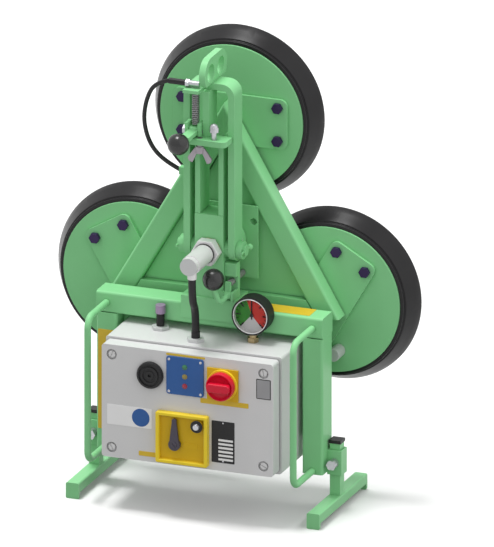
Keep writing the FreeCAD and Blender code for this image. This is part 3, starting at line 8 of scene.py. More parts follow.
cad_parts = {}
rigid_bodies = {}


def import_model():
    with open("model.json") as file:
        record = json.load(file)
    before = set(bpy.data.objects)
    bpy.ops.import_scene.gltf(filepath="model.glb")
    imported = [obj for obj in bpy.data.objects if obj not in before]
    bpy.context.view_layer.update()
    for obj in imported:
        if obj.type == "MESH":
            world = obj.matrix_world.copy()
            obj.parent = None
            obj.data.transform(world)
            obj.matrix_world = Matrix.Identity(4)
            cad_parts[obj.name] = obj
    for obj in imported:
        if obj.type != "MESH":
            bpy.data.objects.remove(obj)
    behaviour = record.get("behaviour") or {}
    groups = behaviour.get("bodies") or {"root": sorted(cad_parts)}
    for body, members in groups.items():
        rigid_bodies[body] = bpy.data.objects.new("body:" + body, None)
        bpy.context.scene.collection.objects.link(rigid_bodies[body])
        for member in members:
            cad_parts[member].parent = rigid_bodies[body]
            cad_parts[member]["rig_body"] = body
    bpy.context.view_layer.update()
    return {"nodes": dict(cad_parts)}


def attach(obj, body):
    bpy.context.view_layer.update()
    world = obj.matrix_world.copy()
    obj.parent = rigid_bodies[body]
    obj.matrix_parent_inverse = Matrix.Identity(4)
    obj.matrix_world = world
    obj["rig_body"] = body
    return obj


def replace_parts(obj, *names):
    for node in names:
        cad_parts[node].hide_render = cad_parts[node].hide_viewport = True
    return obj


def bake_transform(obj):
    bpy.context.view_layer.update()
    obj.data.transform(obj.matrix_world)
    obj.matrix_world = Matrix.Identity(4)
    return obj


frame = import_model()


# Studio. The lifter stands on a plain pale floor under a lamp from above, a broad one on the right
# and an even white sky, seen straight on by a long lens from a little above and to the right.
def shown(thing):
    """An object put into the scene."""
    bpy.context.scene.collection.objects.link(thing)
    return thing


view_turn, view_rise = math.radians(21.1), math.radians(19.4)
view_centre, view_span, view_distance = Vector((0.0694, 0.0, 0.438)), 0.9856, 4
away = Vector((math.sin(view_turn) * math.cos(view_rise), -math.cos(view_turn) * math.cos(view_rise),
               math.sin(view_rise)))
lens = bpy.data.cameras.new("photo_view")
lens.type = "ORTHO"
lens.ortho_scale = view_span
camera = shown(bpy.data.objects.new("photo_view", lens))
camera.location = view_centre + away * view_distance
camera.rotation_euler = (-away).to_track_quat("-Z", "Y").to_euler()
bpy.context.scene.camera = camera
bpy.context.scene.view_settings.view_transform = "Standard"

for name, strength, width, way in (("side_lamp", 0.55, 75, (0.85, -0.15, 0.50)),
                                   ("top_lamp", 2.2, 18, (-0.18, 0.0, 0.985))):
    lamp = bpy.data.lights.new(name, "SUN")
    lamp.energy = strength
    lamp.angle = math.radians(width)
    shown(bpy.data.objects.new(name, lamp)).rotation_euler = Vector(way).to_track_quat("Z", "Y").to_euler()


def seen_directly(tree):
    """1 for the rays that show a backdrop itself, also in metal and glass; 0 for its light on the lifter."""
    path = tree.nodes.new("ShaderNodeLightPath")
    seen = path.outputs["Is Camera Ray"]
    for ray in ("Is Glossy Ray", "Is Transmission Ray"):
        either = tree.nodes.new("ShaderNodeMath")
        either.operation = "MAXIMUM"
        tree.links.new(seen, either.inputs[0])
        tree.links.new(path.outputs[ray], either.inputs[1])
        seen = either.outputs[0]
    return seen


def mapped(tree, value, span, result):
    """A value carried from one span over to another, and held at its ends."""
    node = tree.nodes.new("ShaderNodeMapRange")
    for socket, number in zip(("From Min", "From Max", "To Min", "To Max"), (*span, *result)):
        node.inputs[socket].default_value = number
    tree.links.new(value, node.inputs["Value"])
    return node.outputs["Result"]


def mixed(tree, share, first, second):
    """Two colours mixed by a share. Each is a fixed colour or comes from another node."""
    node = tree.nodes.new("ShaderNodeMix")
    node.data_type = "RGBA"
    for socket, colour in (("A", first), ("B", second)):
        if isinstance(colour, bpy.types.NodeSocket):
            tree.links.new(colour, node.inputs[socket])
        else:
            node.inputs[socket].default_value = (*colour, 1)
    tree.links.new(share, node.inputs["Factor"])
    return node.outputs["Result"]


sky_light, sky_shown = 0.70, 1.0
sky = bpy.data.worlds.new("white_sky")
sky.use_nodes = True
bpy.context.scene.world = sky
sky_tree = sky.node_tree
glow = sky_tree.nodes["Background"]
glow.inputs["Color"].default_value = (1, 1, 1, 1)
sky_level = mapped(sky_tree, seen_directly(sky_tree), (0, 1), (sky_light, sky_shown))
sky_tree.links.new(sky_level, glow.inputs["Strength"])

floor_reach, floor_lit, floor_shown = 8, (0.25, 0.25, 0.25), (0.9, 0.9, 0.9)
floor_mesh = bmesh.new()
bmesh.ops.create_grid(floor_mesh, x_segments=1, y_segments=1, size=floor_reach)
floor = shown(bpy.data.objects.new("studio_floor", bpy.data.meshes.new("studio_floor")))
floor_mesh.to_mesh(floor.data)
floor_mesh.free()
floor_paint = bpy.data.materials.new("studio_floor")
floor_paint.use_nodes = True
floor_tree = floor_paint.node_tree
floor_shader = floor_tree.nodes["Principled BSDF"]
floor_shader.inputs["Roughness"].default_value = 1.0
floor_shader.inputs["Specular IOR Level"].default_value = 0.0
floor_tone = mixed(floor_tree, seen_directly(floor_tree), floor_lit, floor_shown)
floor_tree.links.new(floor_tone, floor_shader.inputs["Base Color"])
floor.data.materials.append(floor_paint)

# Carrier. A cross beam and two legs of square steel tube, with a saddle, a bearing block and a mast of two
# flat bars on top, a tongue plate for the box and a bent grab bar on each side, all welded and sprayed in
# pale green enamel.
cloud_detail, cloud_span, speck_detail = 4, (0.3, 0.7), 2
# Lighter edges, partly paint worn thin and partly a painted highlight: the reach and turn pick the edges, the
# share sets how much lighter.
edge_reach, edge_turn, edge_wear_highlight_share = 0.0014, (0.99, 0.85), (0, 0.7)
# Painted shade: how far the occlusion probe looks, the span it maps, and how dark the corner colour turns.
corner_shade_reach, corner_shade_span, corner_shade_depth = 0.008, (0.35, 0.8), 0.18
ray_count = 6


def coated(name, light, dark, rough, metal=0.0, grain=1500, relief=0.00003, drift=16, gloss=0.06, edge_wear_and_highlight=None,
           corner_shade=0.0, mirror=0.5):
    """A finish with two drifting tones, a fine grain, edges lighter for wear and a painted highlight, and
    painted corner shade.
    """
    finish = bpy.data.materials.new(name)
    finish.use_nodes = True
    tree = finish.node_tree
    shader = tree.nodes["Principled BSDF"]
    shader.inputs["Metallic"].default_value = metal
    shader.inputs["Specular IOR Level"].default_value = mirror
    place = tree.nodes.new("ShaderNodeTexCoord")
    cloud = tree.nodes.new("ShaderNodeTexNoise")
    speck = tree.nodes.new("ShaderNodeTexNoise")
    for noise, scale, detail in ((cloud, drift, cloud_detail), (speck, grain, speck_detail)):
        noise.inputs["Scale"].default_value = scale
        noise.inputs["Detail"].default_value = detail
        tree.links.new(place.outputs["Object"], noise.inputs["Vector"])
    colour = mixed(tree, cloud.outputs["Fac"], light, dark)
    bump = tree.nodes.new("ShaderNodeBump")
    bump.inputs["Distance"].default_value = relief
    tree.links.new(speck.outputs["Fac"], bump.inputs["Height"])
    tree.links.new(bump.outputs["Normal"], shader.inputs["Normal"])
    shine = mapped(tree, cloud.outputs["Fac"], cloud_span, (rough - gloss, rough + gloss))
    tree.links.new(shine, shader.inputs["Roughness"])
    # Edges turn lighter, partly as wear and partly as a painted highlight where light would catch them.
    if edge_wear_and_highlight:
        arris = tree.nodes.new("ShaderNodeBevel")
        arris.samples = ray_count
        arris.inputs["Radius"].default_value = edge_reach
        flat = tree.nodes.new("ShaderNodeNewGeometry")
        turn = tree.nodes.new("ShaderNodeVectorMath")
        turn.operation = "DOT_PRODUCT"
        tree.links.new(arris.outputs["Normal"], turn.inputs[0])
        tree.links.new(flat.outputs["Normal"], turn.inputs[1])
        colour = mixed(tree, mapped(tree, turn.outputs["Value"], edge_turn, edge_wear_highlight_share), colour, edge_wear_and_highlight)
    # Painted shade: the colour darkens in corners and between parts, where less light reaches.
    if corner_shade:
        shade_probe = tree.nodes.new("ShaderNodeAmbientOcclusion")
        shade_probe.samples = ray_count
        shade_probe.inputs["Distance"].default_value = corner_shade_reach
        corner_shade_tone = [corner_shade_depth * part for part in dark]
        colour = mixed(tree, mapped(tree, shade_probe.outputs["AO"], corner_shade_span, (corner_shade, 0)), colour, corner_shade_tone)
    tree.links.new(colour, shader.inputs["Base Color"])
    return finish


crease, corner_turn, flat_turn, weld = math.radians(35), math.radians(40), math.radians(0.5), 1e-5
edge_steps, bold_steps = 2, 4


def piece(name, mesh, finish, body):
    """A finished piece made of a bmesh, in its place and riding on its body."""
    made = shown(bpy.data.objects.new(name, bpy.data.meshes.new(name)))
    mesh.to_mesh(made.data)
    mesh.free()
    made.data.shade_smooth()
    made.data.set_sharp_from_angle(angle=crease)
    made.data.materials.append(finish)
    made.modifiers.new("even_flats", "WEIGHTED_NORMAL").keep_sharp = True
    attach(made, body)
    return made


def rounded(mesh, edges, width, steps, clamp=False):
    """Edges of a mesh rounded off."""
    bmesh.ops.bevel(mesh, geom=edges, offset=width, offset_type="OFFSET", segments=steps, profile=0.5,
                    affect="EDGES", material=-1, clamp_overlap=clamp)


def sharp_edges(mesh):
    """The edges of a closed mesh where it turns sharply."""
    return [e for e in mesh.edges if e.is_manifold and e.calc_face_angle() > corner_turn]


def eased(node, finish, width=0.001, zones=(), bold=None):
    """A CAD piece with its sharp edges rounded off, some more boldly, and other finishes on some zones."""
    mesh = bmesh.new()
    mesh.from_mesh(frame["nodes"][node].data)
    bmesh.ops.remove_doubles(mesh, verts=mesh.verts, dist=weld)
    bmesh.ops.dissolve_limit(mesh, angle_limit=flat_turn, verts=mesh.verts, edges=mesh.edges)
    for face in mesh.faces:
        for number, (_, inside) in enumerate(zones, 1):
            if inside(face.calc_center_median()):
                face.material_index = number
    if bold:
        radius, chosen = bold
        rounded(mesh, [e for e in sharp_edges(mesh) if chosen(e)], radius, bold_steps, clamp=True)
    if width:
        rounded(mesh, sharp_edges(mesh), width, edge_steps, clamp=True)
    made = piece(node + "_finished", mesh, finish, frame["nodes"][node]["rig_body"])
    for other, _ in zones:
        made.data.materials.append(other)
    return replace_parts(made, node)


tube_long, tube_round = 0.12, 0.005


def tube_corner(edge):
    """The long corners of a square tube."""
    return edge.calc_length() > tube_long


# Its edges turn lighter, partly worn paint and partly a painted highlight, and painted shade darkens its
# corners.
green_enamel = coated("green_enamel", (0.275, 0.675, 0.320), (0.250, 0.630, 0.290), 0.38,
                      edge_wear_and_highlight=(0.36, 0.76, 0.41), corner_shade=0.3, mirror=0.15)
for beam in ("cross_beam", "left_leg", "right_leg"):
    eased(beam, green_enamel, bold=(tube_round, tube_corner))
for welded in ("grab_handles", "hub_block", "mast", "box_mount_plate"):
    eased(welded, green_enamel)

# Bare strips on the carrier. Two stuck yellow films without print, one on the front of the left leg and
# one on the right half of the cross beam.
film_corner_steps, film_edge_steps, film_edge_share, rim_turn = 6, 2, 0.2, math.radians(60)


def film(name, low, high, finish, body, corner=0.002, flat="y"):
    """A thin plate or sticker with round corners, flat along one axis."""
    mesh = bmesh.new()
    low, high = Vector(low), Vector(high)
    size = high - low
    bmesh.ops.create_cube(mesh, size=1, matrix=Matrix.Translation((low + high) / 2)
                          @ Matrix.Diagonal((*size, 1)))
    axis = "xyz".index(flat)
    posts = [e for e in mesh.edges if abs((e.verts[0].co - e.verts[1].co)[axis]) > weld]
    rounded(mesh, posts, corner, film_corner_steps)
    rims = [e for e in mesh.edges if e.calc_face_angle() > rim_turn]
    rounded(mesh, rims, film_edge_share * size[axis], film_edge_steps)
    return piece(name, mesh, finish, body)


leg_front, beam_top, strip_thick = -0.0082, 0.3719, 0.0006
yellow_film = coated("yellow_film", (0.72, 0.49, 0.025), (0.65, 0.44, 0.02), 0.42, grain=900, drift=40)
film("leg_strip", (-0.215, leg_front - strip_thick, 0.110), (-0.182, leg_front, 0.300), yellow_film,
     "carrier")
film("beam_strip", (0.060, -0.0003, beam_top), (0.190, 0.0367, beam_top + strip_thick), yellow_film,
     "carrier", flat="z")

# Feet. A square post slides in the sleeve on each leg and carries a foot bar with two end pads. The post
# has a push-on plastic cap, and a clamp bolt with a collar nut holds its height.
cap_low, foot_long, foot_round = 0.1279, 0.02, 0.0026


def foot_corner(edge):
    """The long edges of the post, the foot bar and their pads."""
    return edge.calc_length() > foot_long


black_shell = coated("black_shell", (0.018, 0.018, 0.019), (0.011, 0.011, 0.012), 0.42, grain=1200,
                     mirror=0.25)
for foot in ("left_foot", "right_foot"):
    eased(foot, green_enamel, width=0.0008, zones=[(black_shell, lambda at: at.z > cap_low)],
          bold=(foot_round, foot_corner))
zinc = coated("zinc_plate", (0.52, 0.52, 0.55), (0.40, 0.40, 0.43), 0.34, metal=0.75, grain=2600, drift=60,
              gloss=0.1)
eased("foot_clamp_bolts", zinc, width=0.0007)

# Control box. A grey sprayed steel shell bolted to the plate between the legs, closed by a lid on a soft
# gasket with four slotted screws in round recesses.
lid_y, lid_face_y, lid_side, lid_low, lid_high, lid_round = -0.1183, -0.118, 0.165, 0.0995, 0.3135, 0.0025


def lid_front(edge):
    """The outer edges round the front of the lid."""
    return all(v.co.y < lid_face_y and (abs(v.co.x) > lid_side or not lid_low < v.co.z < lid_high)
               for v in edge.verts)


# Its edges turn lighter, partly worn paint and partly a painted highlight, and painted shade darkens its
# corners.
grey_enamel = coated("grey_enamel", (0.70, 0.70, 0.70), (0.665, 0.665, 0.67), 0.42, grain=1900,
                     relief=0.00004, edge_wear_and_highlight=(0.86, 0.86, 0.86), corner_shade=0.3)
eased("enclosure_base", grey_enamel, width=0.0008)
eased("enclosure_lid", grey_enamel, width=0.0008, bold=(lid_round, lid_front))
foam = coated("gasket_foam", (0.05, 0.05, 0.05), (0.03, 0.03, 0.03), 0.9, grain=700, relief=0.0002)
eased("lid_gasket", foam, width=0)
head_steps, dome_steps, dome_share, slot_share, upward = 40, 4, 0.45, 0.55, 0.3


def join(mesh, part):
    """A finished bmesh moved into another one."""
    made = bpy.data.meshes.new("joined_part")
    part.to_mesh(made)
    part.free()
    mesh.from_mesh(made)
    bpy.data.meshes.remove(made)


def screw_head(mesh, place, radius, height, slot_width):
    """A domed screw head with one slot, added to a mesh. It stands along the place's own Z."""
    head = bmesh.new()
    bmesh.ops.create_cone(head, cap_ends=True, segments=head_steps, radius1=radius, radius2=radius,
                          depth=height, matrix=Matrix.Translation((0, 0, height / 2)))
    rim = [e for e in head.edges if all(v.co.z > height / 2 for v in e.verts)]
    rounded(head, rim, dome_share * height, dome_steps)
    for side in (1, -1):
        bmesh.ops.bisect_plane(head, geom=head.verts[:] + head.edges[:] + head.faces[:],
                               plane_co=(side * slot_width / 2, 0, 0), plane_no=(side, 0, 0))
    strip = [f for f in head.faces if f.normal.z > upward and abs(f.calc_center_median().x) < slot_width / 2]
    sunk = bmesh.ops.extrude_face_region(head, geom=strip)["geom"]
    for vert in sunk:
        if isinstance(vert, bmesh.types.BMVert):
            vert.co.z = slot_share * height
    bmesh.ops.delete(head, geom=[f for f in strip if f.is_valid], context="FACES")
    bmesh.ops.transform(head, matrix=place, verts=head.verts)
    join(mesh, head)


def facing_front(x, y, z, turn=0):
    """The place of a round piece that faces forward, turned about its own axis."""
    return (Matrix.Translation((x, y, z)) @ Matrix.Rotation(math.pi / 2, 4, "X")
            @ Matrix.Rotation(turn, 4, "Z"))


screw_x, screw_low, screw_high, recess_y = 0.1465, 0.118, 0.295, -0.1133
screws = bmesh.new()
for x, z, turn in ((-screw_x, screw_low, 0.5), (screw_x, screw_low, 1.1), (-screw_x, screw_high, -0.4),
                   (screw_x, screw_high, 0.2)):
    screw_head(screws, facing_front(x, recess_y, z, turn), radius=0.007, height=0.0046, slot_width=0.0018)
pale_nylon = coated("pale_nylon", (0.74, 0.74, 0.74), (0.68, 0.68, 0.68), 0.25)
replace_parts(piece("lid_screw_heads", screws, pale_nylon, "carrier"), "lid_screws")

# Pieces inside the box, hidden by the lid: the battery, the pump with its head, the circuit board on its
# stands, and the valve that the lever turns.
cast_alloy = coated("cast_alloy", (0.45, 0.45, 0.46), (0.33, 0.33, 0.34), 0.5, metal=0.7, grain=900,
                    relief=0.00012)
laminate = coated("board_laminate", (0.03, 0.16, 0.06), (0.02, 0.11, 0.04), 0.35, grain=2200)
for hidden, finish, slot in (
        ("battery", black_shell, "black_plastic"), ("vacuum_pump", cast_alloy, "pump_alloy"),
        ("control_board", laminate, "board_laminate"), ("valve_body", cast_alloy, "pump_alloy")):
    eased(hidden, finish, width=0)

# Alarm buzzer. A round black sounder, moulded in plastic, with raised rings round its sound hole. It is
# snapped into a hole in the lid.
fine_weld = 1e-6


def turned(mesh, profile, place, steps=56):
    """A turned shape added to a mesh: its profile is radius and height along the place's own Z."""
    ring = [mesh.verts.new(place @ Vector((radius, 0, height))) for radius, height in profile]
    edges = [mesh.edges.new(pair) for pair in zip(ring, ring[1:])]
    bmesh.ops.spin(mesh, geom=ring + edges, cent=place.translation, axis=place.to_3x3() @ Vector((0, 0, 1)),
                   angle=2 * math.pi, steps=steps, use_merge=True)
    bmesh.ops.remove_doubles(mesh, verts=mesh.verts, dist=fine_weld)
    bmesh.ops.recalc_face_normals(mesh, faces=mesh.faces)


buzzer_x, buzzer_z = -0.071, 0.266
sounder = bmesh.new()
turned(sounder, [(0, 0), (0.025, 0), (0.025, 0.006), (0.0243, 0.0078), (0.0228, 0.0088), (0.0212, 0.009),
                 (0.0204, 0.0084), (0.0198, 0.006), (0.0172, 0.006), (0.0166, 0.0076), (0.0158, 0.008),
                 (0.0138, 0.008), (0.013, 0.0076), (0.0124, 0.006), (0.0092, 0.006), (0.0086, 0.007),
                 (0.0078, 0.0074), (0.0034, 0.0074), (0.003, 0.007), (0.0028, 0.004), (0, 0.004)],
       facing_front(buzzer_x, lid_y, buzzer_z))
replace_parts(piece("buzzer_shell", sounder, black_shell, "carrier"), "alarm_buzzer")

# Charge display. A plain blue film on a square plate with round corners, held by four small screws, with
# three domed lamps in a column.
panel_left, panel_right, panel_low, panel_high = -0.040, 0.032, 0.235, 0.307
panel_front, panel_back, screw_inset, screw_sunk = lid_y - 0.003, lid_y + 0.0005, 0.0055, 0.0002
blue_film = coated("blue_film", (0.036, 0.125, 0.37), (0.031, 0.11, 0.34), 0.36, grain=1600, mirror=0.25)
panel = film("charge_plate", (panel_left, panel_front, panel_low), (panel_right, panel_back, panel_high),
             blue_film, "carrier", corner=0.005)
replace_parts(panel, "charge_panel")
display_screws = bmesh.new()
for x, z, turn in ((panel_left + screw_inset, panel_low + screw_inset, 0.411),
                   (panel_left + screw_inset, panel_high - screw_inset, 0.594),
                   (panel_right - screw_inset, panel_low + screw_inset, 0.96),
                   (panel_right - screw_inset, panel_high - screw_inset, 1.143)):
    screw_head(display_screws, facing_front(x, panel_front + screw_sunk, z, turn), radius=0.0025,
               height=0.0014, slot_width=0.0008)
piece("charge_screws", display_screws, zinc, "carrier")
for name, z, light, dark in (("green_lamp", 0.289, (0.035, 0.20, 0.09), (0.028, 0.17, 0.075)),
                             ("amber_lamp", 0.271, (0.30, 0.24, 0.05), (0.26, 0.20, 0.04)),
                             ("red_lamp", 0.253, (0.36, 0.012, 0.045), (0.30, 0.010, 0.038))):
    bulb = bmesh.new()
    turned(bulb, [(0, 0), (0.005, 0), (0.005, 0.0008), (0.0044, 0.0012), (0.0038, 0.0012), (0.0036, 0.002),
                  (0.0029, 0.0026), (0.0016, 0.003), (0, 0.0031)],
           facing_front((panel_left + panel_right) / 2, panel_front, z), steps=32)
    piece(name, bulb, coated(name, light, dark, 0.18, drift=200), "carrier")

# Main switch. A dished red knob with a raised grip turns on a round yellow collar. Both are moulded in
# plastic, and a square yellow plate carries them, screwed to the lid.
# Painted shade darkens the corners of this yellow.
yellow_shell = coated("yellow_shell", (0.72, 0.46, 0.010), (0.66, 0.415, 0.008), 0.4, grain=1400, corner_shade=0.2,
                      mirror=0.25)
bright_yellow = coated("bright_yellow", (0.95, 0.72, 0.035), (0.90, 0.67, 0.03), 0.36, grain=1400, mirror=0.3)
red_shell = coated("red_shell", (0.72, 0.005, 0.036), (0.65, 0.004, 0.03), 0.34, grain=1400, mirror=0.35)
switch_x, switch_z = 0.069, 0.265
plate_front, knob_seat, grip_middle, grip_front = lid_y - 0.0041, lid_y - 0.0084, lid_y - 0.022, lid_y - 0.03
grip_long, grip_deep, grip_high = 0.044, 0.0165, 0.0165
grip_corner, grip_corner_steps, grip_round, grip_round_steps = 0.006, 5, 0.0024, 3
eased("switch_plate", yellow_shell, width=0.0012,
      zones=[(bright_yellow, lambda at: at.y < plate_front)])
knob = bmesh.new()
turned(knob, [(0, 0), (0.026, 0), (0.026, 0.0117), (0.0254, 0.0128), (0.0244, 0.0132), (0.0236, 0.0128),
              (0.0226, 0.0110), (0.0205, 0.0082), (0.016, 0.0066), (0.008, 0.006), (0, 0.006)],
       facing_front(switch_x, knob_seat, switch_z), steps=72)
grip = bmesh.new()
bmesh.ops.create_cube(grip, size=1, matrix=Matrix.Translation((switch_x, grip_middle, switch_z))
                      @ Matrix.Diagonal((grip_long, grip_deep, grip_high, 1)))
posts = [e for e in grip.edges if abs((e.verts[0].co - e.verts[1].co).y) > grip_deep / 2]
rounded(grip, posts, grip_corner, grip_corner_steps)
front = [e for e in grip.edges if all(v.co.y < grip_front for v in e.verts)]
rounded(grip, front, grip_round, grip_round_steps)
join(knob, grip)
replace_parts(piece("switch_knob", knob, red_shell, "main_switch"), "main_switch_knob")

# Valve tray. A yellow moulded tray with a raised rim guards the dark grey valve lever, held by a screw in
# its boss, and the black lock button. Two bare raised plates stand where the lever's positions are marked.
tray_floor, tray_wall, tray_rim, rim_round = lid_y - 0.0048, lid_y - 0.0055, lid_y - 0.0115, 0.0028
lever_x, lever_front, lever_z, button_front, mark_thick = -0.0215, -0.1302, 0.1415, -0.1352, 0.0008
eased("valve_tray", yellow_shell, width=0.0008,
      zones=[(bright_yellow, lambda at: at.y < tray_wall)],
      bold=(rim_round, lambda edge: all(v.co.y < tray_rim for v in edge.verts)))
lever_grey = coated("lever_grey", (0.075, 0.066, 0.090), (0.055, 0.048, 0.066), 0.4, grain=1400, mirror=0.3)
eased("valve_lever", lever_grey, width=0.001)
boss_screw = bmesh.new()
screw_head(boss_screw, facing_front(lever_x, lever_front, lever_z, 0.7), radius=0.0055, height=0.0022,
           slot_width=0.0014)
piece("lever_screw", boss_screw, lever_grey, "valve_lever")
eased("valve_lock_button", black_shell, width=0.0012,
      zones=[(zinc, lambda at: at.y < button_front)])
for name, x0, x1, z0, z1 in (("upper_mark", -0.047, -0.029, 0.186, 0.192),
                             ("lower_mark", -0.006, 0.022, 0.135, 0.146)):
    film(name, (x0, tray_floor - mark_thick, z0), (x1, tray_floor, z1), yellow_shell, "carrier",
         corner=0.001)

# Bare plates on the lid. Stuck films in yellow, white, grey and blue, and a thin black data plate with six
# white fields, held by two rivets. All are without print.
film_front, film_back = lid_y - 0.0004, lid_y + 0.0002
upper_front, upper_back = lid_y - 0.0007, lid_y - 0.0003
white_film = coated("white_film", (0.90, 0.90, 0.90), (0.86, 0.86, 0.86), 0.4, grain=900, drift=40)
grey_film = coated("grey_film", (0.34, 0.34, 0.35), (0.29, 0.29, 0.30), 0.45, grain=900, drift=40)
for name, x0, x1, z0, z1, finish, slot in (
        ("top_strip", -0.041, 0.034, 0.3078, 0.3118, yellow_film, "yellow_plastic"),
        ("switch_strip", 0.025, 0.118, 0.2245, 0.234, yellow_film, "yellow_plastic"),
        ("corner_strip", -0.094, -0.060, 0.109, 0.118, yellow_film, "yellow_plastic"),
        ("white_sticker", -0.155, -0.069, 0.162, 0.200, white_film, "dial_white"),
        ("small_plate_edge", 0.133, 0.161, 0.246, 0.284, black_shell, "black_plastic"),
        ("data_plate", 0.0467, 0.091, 0.1146, 0.194, black_shell, "black_plastic")):
    film(name, (x0, film_front, z0), (x1, film_back, z1), finish, "carrier", corner=0.0014)
film("small_plate", (0.1345, upper_front, 0.2475), (0.1595, lid_y, 0.2825), grey_film, "carrier",
     corner=0.001)
disc = bmesh.new()
turned(disc, [(0, 0), (0.017, 0), (0.017, 0.0003), (0.0168, 0.0004), (0, 0.0004)],
       facing_front(-0.090, upper_back, 0.1813))
piece("blue_disc", disc, blue_film, "carrier")
rivets = bmesh.new()
for z in (0.1178, 0.1908):
    turned(rivets, [(0, 0), (0.0017, 0), (0.0015, 0.0006), (0.0008, 0.0010), (0, 0.0011)],
           facing_front(0.0689, upper_back, z), steps=20)
piece("data_rivets", rivets, zinc, "carrier")
field_top, field_pitch, field_half, field_left, field_right = 0.1578, 0.0073, 0.002, 0.060, 0.088
for row in range(6):
    z = field_top - field_pitch * row
    film(f"data_field_{row + 1}", (field_left, upper_front, z - field_half),
         (field_right, upper_back, z + field_half), white_film, "carrier", corner=0.0004)

# Box top fittings. An exhaust silencer with a black stem and a violet cap, and a hose gland with a black
# collar, each screwed into the box with a thin hex nut.
nut_top, stem_top = 0.3246, 0.3484
cast_grey = coated("cast_grey", (0.60, 0.61, 0.61), (0.55, 0.56, 0.56), 0.4, metal=0.12, grain=2000)
violet_cap = coated("violet_cap", (0.36, 0.26, 0.40), (0.30, 0.21, 0.34), 0.32, metal=0.2, grain=2600)
eased("silencer", cast_grey, width=0.0006,
      zones=[(black_shell, lambda at: nut_top < at.z < stem_top), (violet_cap, lambda at: at.z > stem_top)])
eased("hose_gland", cast_grey, width=0.0006, zones=[(black_shell, lambda at: at.z > nut_top)])

# Vacuum gauge. A black case with a plated ring and a glass window, a dial with a green and a red field, and
# a needle on a cap. It stands on a brass stem with a hex, screwed into the box.
gauge_x, gauge_z, dial_y = 0.090, 0.3705, -0.0299
bore_front, bore_back, bore_radius, ring_seat = -0.0373, -0.0289, 0.0325, -0.0378
brass = coated("brass", (0.48, 0.38, 0.22), (0.38, 0.29, 0.15), 0.3, metal=0.9, grain=2400, drift=50,
               gloss=0.1)
eased("gauge_stem", brass, width=0.0006)


def in_bore(at):
    """The plated wall of the case in front of the dial."""
    return bore_front < at.y < bore_back and math.hypot(at.x - gauge_x, at.z - gauge_z) < bore_radius


steel = coated("turned_steel", (0.82, 0.82, 0.82), (0.78, 0.78, 0.78), 0.34, metal=0.12, grain=3000,
               relief=0.000004, drift=40)
eased("gauge_case", black_shell, width=0.0008, zones=[(steel, in_bore)])
gauge_ring = bmesh.new()
turned(gauge_ring, [(0.0315, 0), (0.0329, 0), (0.0329, 0.0005), (0.0326, 0.0009), (0.0318, 0.0009),
                    (0.0315, 0.0005), (0.0315, 0)], facing_front(gauge_x, ring_seat, gauge_z), steps=72)
piece("gauge_ring", gauge_ring, steel, "carrier")
dial_print = coated("dial_print", (0.72, 0.72, 0.72), (0.68, 0.68, 0.68), 0.5)
dial_tree = dial_print.node_tree
spot = dial_tree.nodes.new("ShaderNodeMapping")
spot.inputs["Location"].default_value = (-gauge_x, 0, -gauge_z)
dial_tree.links.new(dial_tree.nodes["Texture Coordinate"].outputs["Object"], spot.inputs["Vector"])
axes = dial_tree.nodes.new("ShaderNodeSeparateXYZ")
dial_tree.links.new(spot.outputs["Vector"], axes.inputs["Vector"])
bearing = dial_tree.nodes.new("ShaderNodeMath")
bearing.operation = "ARCTAN2"
dial_tree.links.new(axes.outputs["X"], bearing.inputs[0])
dial_tree.links.new(axes.outputs["Z"], bearing.inputs[1])
turn_share = mapped(dial_tree, bearing.outputs["Value"], (-math.pi, math.pi), (0, 1))
green_share, red_share, blank_share, blank = 0.12, 0.445, 0.89, (0.66, 0.66, 0.66, 1)
fields = dial_tree.nodes.new("ShaderNodeValToRGB")
fields.color_ramp.interpolation = "CONSTANT"
fields.color_ramp.elements[0].color = blank
fields.color_ramp.elements[1].position = blank_share
fields.color_ramp.elements[1].color = blank
fields.color_ramp.elements.new(green_share).color = (0.022, 0.25, 0.012, 1)
fields.color_ramp.elements.new(red_share).color = (0.66, 0.025, 0.012, 1)
dial_tree.links.new(turn_share, fields.inputs["Fac"])
dial_tree.links.new(fields.outputs["Color"], dial_tree.nodes["Principled BSDF"].inputs["Base Color"])
eased("gauge_dial", dial_print, width=0)
tick_end, tick_turn, long_tick, short_tick = 0.0305, 15, (0.0026, 0.0003, 0.0095), (0.0014, 0.0003, 0.0055)
ticks = bmesh.new()
for step in range(-9, 10):
    size = short_tick if step % 3 else long_tick
    bmesh.ops.create_cube(ticks, size=1, matrix=Matrix.Translation((gauge_x, dial_y, gauge_z))
                          @ Matrix.Rotation(math.radians(tick_turn * step), 4, "Y")
                          @ Matrix.Translation((0, 0, tick_end - size[2] / 2)) @ Matrix.Diagonal((*size, 1)))
piece("dial_ticks", ticks, black_shell, "carrier")
eased("gauge_needle", black_shell, width=0)
glass = bpy.data.materials.new("gauge_glass")
glass.use_nodes = True
pane = glass.node_tree.nodes["Principled BSDF"]
pane.inputs["Transmission Weight"].default_value = 1.0
pane.inputs["Roughness"].default_value = 0.02
pane.inputs["IOR"].default_value = 1.1
frame["nodes"]["gauge_lens"].data.materials.clear()
frame["nodes"]["gauge_lens"].data.materials.append(glass)

# Hub. A steel axle with a painted flange in a bronze bush, held by a big hex nut, with a turning air union
# on its nose and a rubber hose from the union down to the box.
hub_z, flange_front, flange_inside, union_front, union_seat = 0.478, 0.036, 0.025, -0.1135, -0.0336


def on_flange(at):
    """The painted flange at the back of the axle."""
    return at.y > flange_front and math.hypot(at.x, at.z - hub_z) > flange_inside


